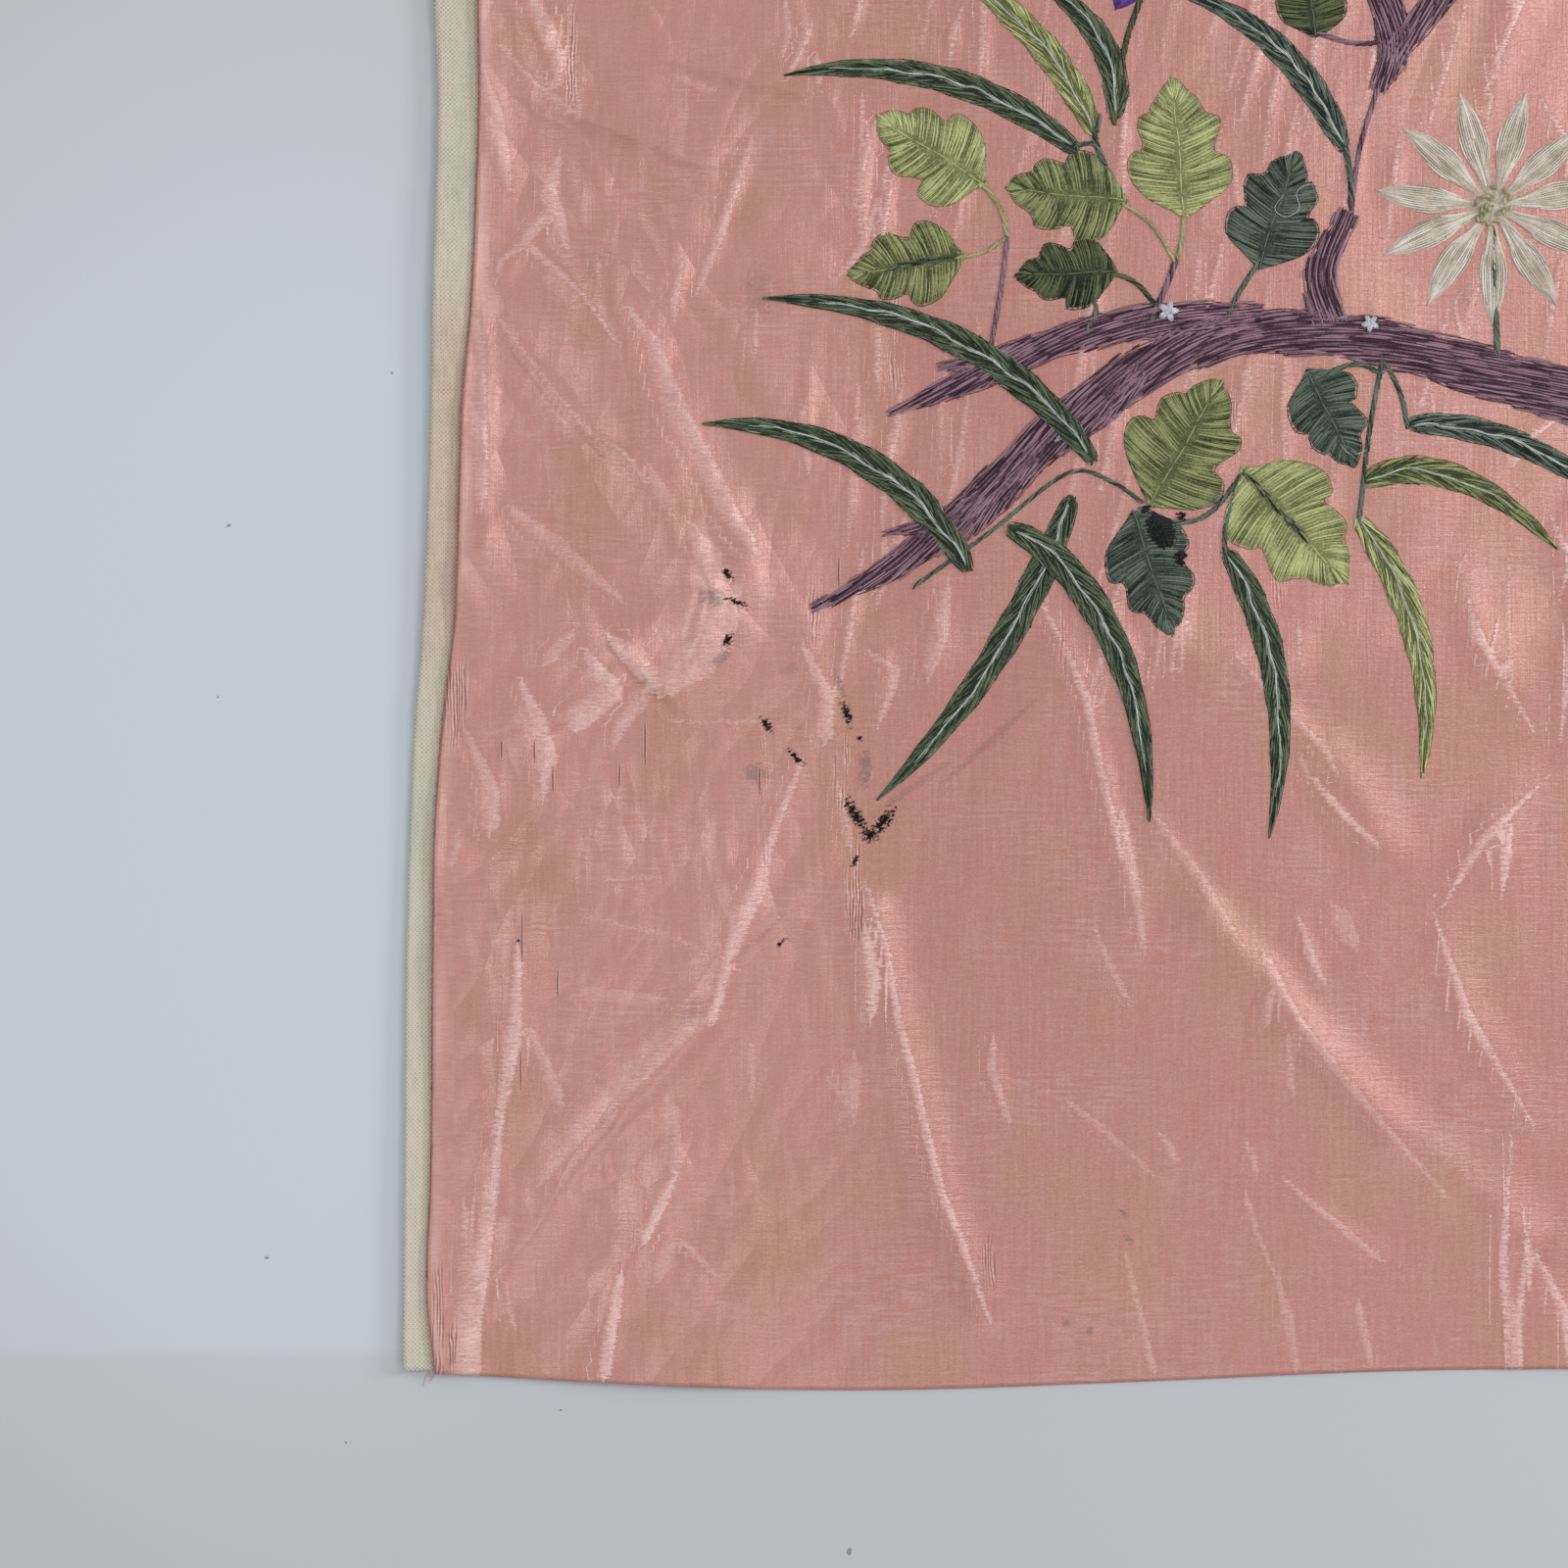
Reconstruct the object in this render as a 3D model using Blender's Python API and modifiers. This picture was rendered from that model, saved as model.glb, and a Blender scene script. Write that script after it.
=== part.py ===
# A silk embroidery panel lying flat: a satin ground with soft folds and a curled left edge, a linen tape
# along that edge, and the raised motifs of a floral spray, each a plate of packed stitches.
import math

import bmesh
import bpy
import numpy as np

MM = 0.001

# Sizes in millimetres. On the panel u runs right and v runs up, from the satin's lower left corner.
SATIN_WIDTH = 560.0
SATIN_HEIGHT = 780.0
SATIN_THICKNESS = 1.0
TAPE_THICKNESS = 1.0
TAPE_TUCK = 3.0
TAPE_GAP = 0.4
TAPE_FOOT = 5.0
PIECE_GAP = 0.3

# The left edge curls up from the table, with a slow wave along its length.
CURL_START = 28.0
CURL_REACH = 44.0
CURL_LIFT = 6.2
CURL_WAVE = 1.0
CURL_WAVELENGTH = 310.0
CURL_PHASE = 0.6

# Between its corners the flat middle stays a hair off the table along its lower and left edges.
RIM_RISE = 0.12
RIM_START = 24.0
RIM_END = 48.0
RIM_FOOT = 14.0
RIM_CORNER = 34.0

# Motifs lie on the satin. One that crosses another is thicker and bridges over it.
STITCH_THICKNESS = 0.7
BRIDGE_THICKNESS = 1.6
GROW = 0.35

# Below this height a fold has run out.
LEAST_FOLD = 0.02

# Grid lines of the satin: from, to, step. They are close where the folds are.
ACROSS_SPANS = ((0, 132, 12), (132, 356, 16), (356, 560, 34))
UP_SPANS = ((0, 504, 14), (504, 780, 34.5))

# Rows of the left side: v, the tape's outer edge, the satin's edge.
SIDE_ROWS = (
    (0, -9.6, 2.0),
    (25, -9.4, -0.7),
    (76, -9.0, 0.4),
    (148, -8.5, 1.1),
    (202, -7.2, 1.8),
    (241, -5.4, 4.7),
    (277, -2.6, 9.0),
    (328, -0.3, 10.8),
    (364, 0.7, 12.2),
    (392, 1.1, 14.8),
    (436, 2.4, 16.9),
    (472, 3.2, 18.0),
    (508, 1.8, 17.6),
    (620, 2.4, 17.0),
    (780, 2.0, 16.5),
)

# Rows of the lower edge: u, v.
FOOT_ROWS = ((0, 4.0), (60, 0.6), (155, -2.5), (250, 0.2), (347, 4.3), (450, 5.5), (560, 4.0))

# Main folds: start u, start v, end u, end v, height, half width.
FOLD_ROWS = (
    (163, 172, 176, 118, 2.2, 8),
    (176, 118, 188, 66, 2.4, 8),
    (188, 66, 203, 30, 2.0, 8),
    (284, 172, 318, 132, 1.8, 8),
    (318, 132, 356, 92, 2.4, 9),
    (356, 92, 404, 52, 1.8, 10),
    (113, 186, 101, 134, 1.8, 9),
    (101, 134, 60, 88, 2.6, 9),
    (60, 88, 26, 40, 2.2, 9),
    (91, 80, 64, 22, 2.0, 8),
    (34, 190, 24, 70, 1.6, 9),
    (62, 404, 76, 352, 1.8, 10),
    (76, 352, 94, 296, 2.6, 11),
    (94, 296, 64, 262, 1.8, 10),
    (106, 462, 84, 400, 1.6, 9),
    (40, 492, 62, 440, 1.6, 10),
    (330, 232, 352, 196, 1.6, 9),
    (430, 250, 492, 150, 1.8, 16),
    (110, 690, 220, 620, 2.0, 15),
    (420, 690, 500, 610, 1.8, 16),
)

# Limbs of the two boughs: rows of u, v and width along the middle of each.
LIMBS = {
    "bough_main": (
        ((452, 352, 17), (392, 370, 18), (338, 384, 17), (290, 384, 16), (246, 362, 15),
         (206, 328, 13), (174, 302, 10), (140, 284, 1)),
        ((306, 390, 11), (266, 390, 12), (230, 382, 12), (198, 368, 9), (168, 356, 1)),
        ((330, 388, 12), (327, 408, 11), (338, 430, 8)),
    ),
    "bough_upper": (
        ((348, 474, 4), (354, 494, 12), (344, 530, 13), (338, 566, 9)),
        ((352, 484, 6), (376, 516, 11), (402, 548, 9)),
    ),
}

# Long narrow leaves: thread, half width, and the four control points of the middle line.
BLADES = {
    "blade_1": ("green", 5.2, ((238, 452), (208, 478), (170, 488), (130, 480))),
    "blade_2": ("lime", 5.4, ((244, 458), (236, 484), (212, 508), (176, 532))),
    "blade_3": ("green", 5.0, ((251, 464), (256, 484), (244, 504), (216, 520))),
    "blade_4": ("teal", 5.2, ((336, 452), (326, 478), (306, 504), (270, 512))),
    "blade_5": ("green", 5.4, ((244, 338), (216, 378), (176, 398), (122, 398))),
    "blade_6": ("green", 5.6, ((198, 298), (180, 332), (146, 354), (100, 352))),
    "blade_7": ("green", 5.6, ((236, 326), (222, 286), (198, 246), (164, 214))),
    "blade_8": ("green", 5.6, ((212, 314), (240, 304), (264, 262), (264, 206))),
    "blade_9": ("green", 5.2, ((292, 306), (308, 282), (318, 246), (308, 200))),
    "blade_10": ("lime", 5.4, ((340, 318), (360, 294), (370, 260), (364, 222))),
    "blade_11": ("olive", 5.2, ((342, 330), (360, 342), (388, 334), (414, 306))),
    "blade_12": ("teal", 4.8, ((358, 352), (386, 354), (414, 342), (446, 316))),
}

# Lobed leaves: thread, u and v of the foot, direction in degrees, length, width.
LEAVES = {
    "leaf_1": ("lime", 277, 428, 95, 52, 38),
    "leaf_2": ("lime", 204, 440, 148, 48, 34),
    "leaf_3": ("olive", 196, 414, 190, 44, 30),
    "leaf_4": ("olive", 256, 434, 174, 46, 32),
    "leaf_5": ("deep", 252, 408, 182, 38, 26),
    "leaf_6": ("teal", 304, 409, 72, 46, 34),
    "leaf_7": ("olive", 264, 322, 60, 54, 42),
    "leaf_8": ("teal", 258, 320, -72, 48, 32),
    "leaf_9": ("lime", 298, 336, -48, 58, 42),
    "leaf_10": ("teal", 322, 372, -64, 40, 28),
    "leaf_11": ("deep", 325, 494, 97, 34, 25),
    "leaf_12": ("olive", 452, 394, 6, 50, 38),
    "leaf_13": ("lime", 474, 350, -30, 50, 38),
}
LOBES = 3
LOBE_DEPTH = 0.26

# Flowers: thread, u and v of the middle, petals, reach, petal half width, turn in degrees.
FLOWERS = {
    "flower_violet": ("violet", 268, 538, 5, 38, 8.5, 28),
    "flower_cream": ("cream", 390, 432, 11, 44, 5.6, 8),
}

# A petal's outline: share of the reach, and of the half width. The first row is the notch before it.
PETAL_ROWS = (
    (0.34, None), (0.52, 1.0), (0.74, 0.86), (0.9, 0.46),
    (1.0, 0.0), (0.9, -0.46), (0.74, -0.86), (0.52, -1.0),
)

# Which motif passes over which.
CROSSINGS = (
    ("blade_5", "bough_main"),
    ("blade_6", "bough_main"),
    ("blade_8", "blade_7"),
)

# Colour and roughness of each finish.
FINISHES = {
    "satin": ((0.70, 0.33, 0.27), 0.38),
    "linen": ((0.66, 0.60, 0.46), 0.85),
    "green": ((0.045, 0.110, 0.050), 0.50),
    "lime": ((0.300, 0.370, 0.110), 0.45),
    "olive": ((0.140, 0.210, 0.060), 0.50),
    "deep": ((0.030, 0.065, 0.025), 0.50),
    "teal": ((0.060, 0.125, 0.105), 0.50),
    "bough": ((0.150, 0.085, 0.135), 0.50),
    "violet": ((0.110, 0.030, 0.270), 0.45),
    "cream": ((0.640, 0.590, 0.480), 0.55),
}


def stations(spans):
    """Places of the grid lines along one side."""
    found = [spans[0][0]]
    for start, end, step in spans:
        count = round((end - start) / step)
        found += [start + (end - start) * (i + 1) / count for i in range(count)]
    return found


def clamp(value):
    return min(1.0, max(0.0, value))


def smooth(rows, column, at):
    """A column's value at a place in the first column, on a smooth curve through the rows."""
    x = np.array([row[0] for row in rows], float)
    y = np.array([row[column] for row in rows], float)
    slope = np.gradient(y, x)
    i = int(np.clip(np.searchsorted(x, at) - 1, 0, len(x) - 2))
    span = x[i + 1] - x[i]
    t = clamp((at - x[i]) / span)
    from_start = (2 * t**3 - 3 * t**2 + 1) * y[i] + (t**3 - 2 * t**2 + t) * span * slope[i]
    from_end = (3 * t**2 - 2 * t**3) * y[i + 1] + (t**3 - t**2) * span * slope[i + 1]
    return from_start + from_end


def tape_edge(v):
    return smooth(SIDE_ROWS, 1, v)


def satin_edge(v):
    return smooth(SIDE_ROWS, 2, v)


def foot(u):
    return smooth(FOOT_ROWS, 1, u)


ACROSS = stations(ACROSS_SPANS)
UP = stations(UP_SPANS)
MIDDLE_U = (min(tape_edge(v) for v in UP) + SATIN_WIDTH) / 2
MIDDLE_V = (min(foot(u) for u in ACROSS) + SATIN_HEIGHT) / 2


def place(u, v, z):
    """A point of the panel in metres, with the origin under the middle of the panel."""
    return ((u - MIDDLE_U) * MM, (v - MIDDLE_V) * MM, z * MM)


def curl(u, v):
    """How far the left side is off the table."""
    inside = u - satin_edge(v)
    lift = CURL_LIFT + CURL_WAVE * math.sin(2 * math.pi * v / CURL_WAVELENGTH + CURL_PHASE)
    return lift * (max(0.0, CURL_START - inside) / CURL_REACH) ** 2


def rim(across, up):
    """How far the rim of the flat middle is off the table: nothing at its corners."""
    side = clamp((RIM_END - across) / (RIM_END - RIM_START)) * (0 < up < SATIN_HEIGHT)
    inside = clamp((across - RIM_START) / RIM_CORNER - 0.5) * clamp((SATIN_WIDTH - across) / RIM_CORNER)
    return RIM_RISE * max(side, inside * clamp(1 - up / RIM_FOOT))


def folds(u, v):
    """Height of the main folds, each a soft ridge about a straight run."""
    height = 0.0
    for u0, v0, u1, v1, rise, half_width in FOLD_ROWS:
        run = np.array((u1 - u0, v1 - v0))
        t = clamp(np.dot((u - u0, v - v0), run) / np.dot(run, run))
        away = math.hypot(u - u0 - t * run[0], v - v0 - t * run[1])
        height = max(height, rise * math.exp(-((away / half_width) ** 2)))
    return height if height > LEAST_FOLD else 0.0


def material(name):
    """A plain finish of the named colour."""
    made = bpy.data.materials.get(name)
    if made is None:
        colour, roughness = FINISHES[name]
        made = bpy.data.materials.new(name)
        made.use_nodes = True
        shader = made.node_tree.nodes["Principled BSDF"]
        shader.inputs["Base Color"].default_value = (*colour, 1)
        shader.inputs["Roughness"].default_value = roughness
        shader.inputs["Metallic"].default_value = 0
    return made


def add(name, data, finish, collection):
    made = bpy.data.objects.new(name, data)
    data.materials.append(material(finish))
    collection.objects.link(made)
    return made


def sheet(name, columns, rows, point, thickness, finish):
    """Cloth: a grid laid on the points of its upper face, thickened downwards."""
    grid = bmesh.new()
    bmesh.ops.create_grid(grid, x_segments=len(columns) - 1, y_segments=len(rows) - 1, size=1)
    for vert in grid.verts:
        i = round((vert.co.x + 1) / 2 * (len(columns) - 1))
        j = round((vert.co.y + 1) / 2 * (len(rows) - 1))
        vert.co = point(columns[i], rows[j])
    mesh = bpy.data.meshes.new(name)
    grid.to_mesh(mesh)
    grid.free()
    mesh.shade_smooth()
    made = add(name, mesh, finish, PANEL)
    solidify = made.modifiers.new("thickness", "SOLIDIFY")
    solidify.thickness = thickness * MM
    solidify.offset = -1
    return made


def satin_point(across, up):
    u = satin_edge(up) + (SATIN_WIDTH - satin_edge(up)) * across / SATIN_WIDTH
    v = foot(u) + (SATIN_HEIGHT - foot(u)) * up / SATIN_HEIGHT
    return place(u, v, SATIN_THICKNESS + max(curl(u, v), folds(u, v), rim(across, up)))


def tape_point(share, up):
    v = TAPE_FOOT + (SATIN_HEIGHT - TAPE_FOOT) * up / SATIN_HEIGHT
    outer = tape_edge(v)
    u = outer + (satin_edge(v) + TAPE_TUCK - outer) * share
    return place(u, v, curl(u, v) - TAPE_GAP)


def bezier(points, count):
    t = np.linspace(0, 1, count)[:, None]
    a, b, c, d = (np.array(point, float) for point in points)
    return (1 - t) ** 3 * a + 3 * (1 - t) ** 2 * t * b + 3 * (1 - t) * t**2 * c + t**3 * d


def through(rows, count):
    """Points of a smooth curve through the rows."""
    rows = np.array(rows, float)
    slope = np.gradient(rows, axis=0)
    at = np.linspace(0, len(rows) - 1, count)
    i = np.minimum(at.astype(int), len(rows) - 2)
    t = (at - i)[:, None]
    start = (2 * t**3 - 3 * t**2 + 1) * rows[i] + (t**3 - 2 * t**2 + t) * slope[i]
    return start + (3 * t**2 - 2 * t**3) * rows[i + 1] + (t**3 - t**2) * slope[i + 1]


def sides(line, half):
    """Outline of a ribbon: up its left side and back down its right."""
    along = np.gradient(line, axis=0)
    along /= np.linalg.norm(along, axis=1)[:, None]
    out = np.stack([-along[:, 1], along[:, 0]], axis=1) * half[:, None]
    return np.concatenate([line - out, (line + out)[::-1]])


def blade_outline(half_width, points):
    """A blade swells soon after its foot and tapers to a fine tip."""
    line = bezier(points, 13)
    s = np.linspace(0, 1, len(line))
    return sides(line, half_width * 2.02 * (s + 0.02) ** 0.45 * (1.004 - s) ** 0.8)


def limb_outline(rows):
    """A limb follows its rows, with the uneven sides of stitched bark."""
    line = through(rows, 5 * len(rows))
    k = np.arange(len(line))
    bark = 1 + 0.16 * np.where(k % 3 == 0, 1.0, -0.5) * np.sin(2.4 * k + 1)
    return sides(line[:, :2], np.maximum(line[:, 2] / 2 * bark, 0.4))


def leaf_outline(u, v, direction, length, width):
    """A leaf with round lobes on both sides, swept towards its tip."""
    s = np.linspace(0, 1, 5 * LOBES + 1)
    lobe = np.abs(np.sin(math.pi * LOBES * s)) ** 0.7
    swell = np.sin(math.pi * s**0.74) ** 0.75 * (1.06 - 0.22 * s)
    half = np.maximum(width / 2 * swell * (1 - LOBE_DEPTH * (1 - lobe)), 0.3)
    along = length * (s + 0.10 * lobe * np.sin(math.pi * s))
    right = np.stack([along, -half], axis=1)
    left = np.stack([along, half], axis=1)[::-1]
    turn = math.radians(direction)
    rotate = np.array([[math.cos(turn), math.sin(turn)], [-math.sin(turn), math.cos(turn)]])
    return np.concatenate([right, left]) @ rotate + (u, v)


def flower_outline(u, v, petals, reach, half_width, turn):
    """Pointed petals about a middle, joined at a third of their length."""
    points = []
    for k in range(petals):
        for share, side in PETAL_ROWS:
            angle = math.radians(turn) + 2 * math.pi * k / petals
            along, across = reach * share, 0.0
            if side is None:
                angle -= math.pi / petals
            else:
                across = -side * half_width
            points.append((
                u + along * math.cos(angle) - across * math.sin(angle),
                v + along * math.sin(angle) + across * math.cos(angle),
            ))
    return np.array(points)


def grown(outline, distance):
    """The outline moved outwards."""
    ahead = np.roll(outline, -1, axis=0) - np.roll(outline, 1, axis=0)
    ahead /= np.linalg.norm(ahead, axis=1)[:, None]
    return outline + distance * np.stack([ahead[:, 1], -ahead[:, 0]], axis=1)


def plate(name, outline, low, high, finish, collection):
    """A flat plate of the outline, from one height to another, as a mesh."""
    flat = bpy.data.curves.new(name, "CURVE")
    flat.dimensions = "2D"
    flat.fill_mode = "BOTH"
    flat.extrude = (high - low) / 2 * MM
    spline = flat.splines.new("POLY")
    spline.points.add(len(outline) - 1)
    for point, (u, v) in zip(spline.points, outline):
        x, y, _ = place(u, v, 0)
        point.co = (x, y, 0, 1)
    spline.use_cyclic_u = True
    guide = bpy.data.objects.new(name + "_guide", flat)
    collection.objects.link(guide)
    guide.location.z = (high + low) / 2 * MM
    bpy.context.view_layer.update()
    mesh = bpy.data.meshes.new_from_object(guide.evaluated_get(bpy.context.evaluated_depsgraph_get()))
    mesh.name = name
    welded = bmesh.new()
    welded.from_mesh(mesh)
    bmesh.ops.remove_doubles(welded, verts=welded.verts, dist=1e-6)
    bmesh.ops.recalc_face_normals(welded, faces=welded.faces)
    welded.to_mesh(mesh)
    welded.free()
    mesh.materials.clear()
    made = add(name, mesh, finish, collection)
    made.matrix_world = guide.matrix_world
    bpy.data.objects.remove(guide)
    return made


def boolean(target, other, operation):
    modifier = target.modifiers.new(other.name, "BOOLEAN")
    modifier.operation = operation
    modifier.object = other
    modifier.solver = "EXACT"


def hide(cutter):
    cutter.hide_render = True
    cutter.display_type = "WIRE"


def motif(name, outline, finish):
    """One stitched motif. It bridges what it crosses, with a notch in its underside."""
    low = SATIN_THICKNESS + PIECE_GAP
    crossed = [under for over, under in CROSSINGS if over == name]
    thickness = BRIDGE_THICKNESS if crossed else STITCH_THICKNESS
    made = plate(name, outline, low, low + thickness, finish, PANEL)
    for under in crossed:
        for i, edge in enumerate(OUTLINES[under]):
            high = low + STITCH_THICKNESS + PIECE_GAP
            notch = plate(f"notch_{name}_{under}_{i}", grown(edge, GROW), 0, high, finish, CUTTERS)
            hide(notch)
            boolean(made, notch, "DIFFERENCE")
    return made


for old in list(bpy.data.objects):
    bpy.data.objects.remove(old, do_unlink=True)
PANEL = bpy.data.collections.new("silk_embroidery_panel")
CUTTERS = bpy.data.collections.new("notches")
bpy.context.scene.collection.children.link(PANEL)
bpy.context.scene.collection.children.link(CUTTERS)

sheet("satin_ground", ACROSS, UP, satin_point, SATIN_THICKNESS, "satin")
sheet("edge_tape", (0, 0.5, 1), UP, tape_point, TAPE_THICKNESS, "linen")

OUTLINES = {name: [limb_outline(rows) for rows in limbs] for name, limbs in LIMBS.items()}
for outline_of, rows in ((blade_outline, BLADES), (leaf_outline, LEAVES), (flower_outline, FLOWERS)):
    for name, row in rows.items():
        OUTLINES[name] = [outline_of(*row[1:])]

THREADS = {name: row[0] for name, row in {**BLADES, **LEAVES, **FLOWERS}.items()}
for name, edges in OUTLINES.items():
    thread = THREADS.get(name, "bough")
    stitched = motif(name, edges[0], thread)
    for number, edge in enumerate(edges[1:], 2):
        low = SATIN_THICKNESS + PIECE_GAP
        fork = plate(f"{name}_fork_{number}", edge, low, low + STITCH_THICKNESS, thread, CUTTERS)
        hide(fork)
        boolean(stitched, fork, "UNION")
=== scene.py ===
# Dresses the silk embroidery panel: creased satin, the stitched spray, the edge tape and its threads.
import math

import bpy
import numpy as np
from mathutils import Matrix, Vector
from mathutils.bvhtree import BVHTree
from mathutils.geometry import delaunay_2d_cdt


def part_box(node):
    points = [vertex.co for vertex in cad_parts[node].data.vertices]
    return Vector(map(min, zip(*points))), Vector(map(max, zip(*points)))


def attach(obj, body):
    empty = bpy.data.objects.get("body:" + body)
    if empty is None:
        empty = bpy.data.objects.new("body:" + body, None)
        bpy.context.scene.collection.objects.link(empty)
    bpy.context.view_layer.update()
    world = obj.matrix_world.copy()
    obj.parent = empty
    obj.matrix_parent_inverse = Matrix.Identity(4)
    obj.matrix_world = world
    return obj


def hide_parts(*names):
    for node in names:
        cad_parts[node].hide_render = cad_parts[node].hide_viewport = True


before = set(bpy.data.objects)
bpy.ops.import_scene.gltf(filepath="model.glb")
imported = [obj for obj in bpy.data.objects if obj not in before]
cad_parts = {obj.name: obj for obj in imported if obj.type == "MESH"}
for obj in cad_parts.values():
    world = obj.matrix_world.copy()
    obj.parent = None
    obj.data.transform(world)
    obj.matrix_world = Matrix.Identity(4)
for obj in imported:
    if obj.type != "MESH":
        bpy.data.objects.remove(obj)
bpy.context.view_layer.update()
mm = 0.001

# Sizes are in millimetres. On the panel u runs right and v runs up, from the satin's lower left corner.
panel = dict(
    width=560.0,
    height=780.0,
    side=(  # v, the tape's outer edge, the satin's edge
        (0, -9.6, 2.0), (25, -9.4, -0.7), (76, -9.0, 0.4), (148, -8.5, 1.1), (202, -7.2, 1.8),
        (241, -5.4, 4.7), (277, -2.6, 9.0), (328, -0.3, 10.8), (364, 0.7, 12.2), (392, 1.1, 14.8),
        (436, 2.4, 16.9), (472, 3.2, 18.0), (508, 1.8, 17.6), (620, 2.4, 17.0), (780, 2.0, 16.5),
    ),
    foot=((0, 4.0), (60, 0.6), (155, -2.5), (250, 0.2), (347, 4.3), (450, 5.5), (560, 4.0)),
    curlStart=28.0,
    curlReach=44.0,
    curlLift=6.2,
    curlWave=1.0,
    curlWavelength=310.0,
    curlPhase=0.6,
    folds=(  # start u, v, end u, v, height, half width
        (163, 172, 176, 118, 2.2, 8), (176, 118, 188, 66, 2.4, 8), (188, 66, 203, 30, 2.0, 8),
        (284, 172, 318, 132, 1.8, 8), (318, 132, 356, 92, 2.4, 9), (356, 92, 404, 52, 1.8, 10),
        (113, 186, 101, 134, 1.8, 9), (101, 134, 60, 88, 2.6, 9), (60, 88, 26, 40, 2.2, 9),
        (91, 80, 64, 22, 2.0, 8), (34, 190, 24, 70, 1.6, 9), (62, 404, 76, 352, 1.8, 10),
        (76, 352, 94, 296, 2.6, 11), (94, 296, 64, 262, 1.8, 10), (106, 462, 84, 400, 1.6, 9),
        (40, 492, 62, 440, 1.6, 10), (330, 232, 352, 196, 1.6, 9), (430, 250, 492, 150, 1.8, 16),
        (110, 690, 220, 620, 2.0, 15), (420, 690, 500, 610, 1.8, 16),
    ),
)
middleU = panel["width"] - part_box("satin_ground")[1].x / mm
middleV = panel["height"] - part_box("satin_ground")[1].y / mm


def place(points):
    # panel points u, v, z to metres about the frame's origin
    return (np.asarray(points, float) - (middleU, middleV, 0)) * mm


def curveBetween(values, slopes, i, t, span=1):
    # a smooth curve from value i to the next, at the share t of the way
    start = (2 * t**3 - 3 * t**2 + 1) * values[i] + (t**3 - 2 * t**2 + t) * span * slopes[i]
    return start + (3 * t**2 - 2 * t**3) * values[i + 1] + (t**3 - t**2) * span * slopes[i + 1]


def smoothRows(rows, column, at):
    # a column's value on a smooth curve through the rows
    x = np.array([row[0] for row in rows], float)
    y = np.array([row[column] for row in rows], float)
    slope = np.gradient(y, x)
    i = np.clip(np.searchsorted(x, at) - 1, 0, len(x) - 2)
    span = x[i + 1] - x[i]
    return curveBetween(y, slope, i, np.clip((at - x[i]) / span, 0, 1), span)


def pointing(angle):
    return np.array([math.cos(angle), math.sin(angle)])


def tapeEdge(v):
    return smoothRows(panel["side"], 1, v)


def satinEdge(v):
    return smoothRows(panel["side"], 2, v)


def footEdge(u):
    return smoothRows(panel["foot"], 1, u)


def curlHeight(u, v):
    lift = panel["curlLift"]
    lift = lift + panel["curlWave"] * np.sin(2 * math.pi * v / panel["curlWavelength"] + panel["curlPhase"])
    return lift * (np.maximum(0, panel["curlStart"] - (u - satinEdge(v))) / panel["curlReach"]) ** 2


def runDistance(u, v, start, end):
    # distance from a straight run, the share along it, and on which side: above 0 is east of a run down
    du, dv = end[0] - start[0], end[1] - start[1]
    share = np.clip(((u - start[0]) * du + (v - start[1]) * dv) / (du * du + dv * dv), 0, 1)
    away = np.hypot(u - start[0] - share * du, v - start[1] - share * dv)
    return away, share, du * (v - start[1]) - dv * (u - start[0])


def foldHeight(u, v):
    height = np.zeros_like(u)
    for u0, v0, u1, v1, rise, halfWidth in panel["folds"]:
        away, _, _ = runDistance(u, v, (u0, v0), (u1, v1))
        height = np.maximum(height, rise * np.exp(-((away / halfWidth) ** 2)))
    return height


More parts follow.
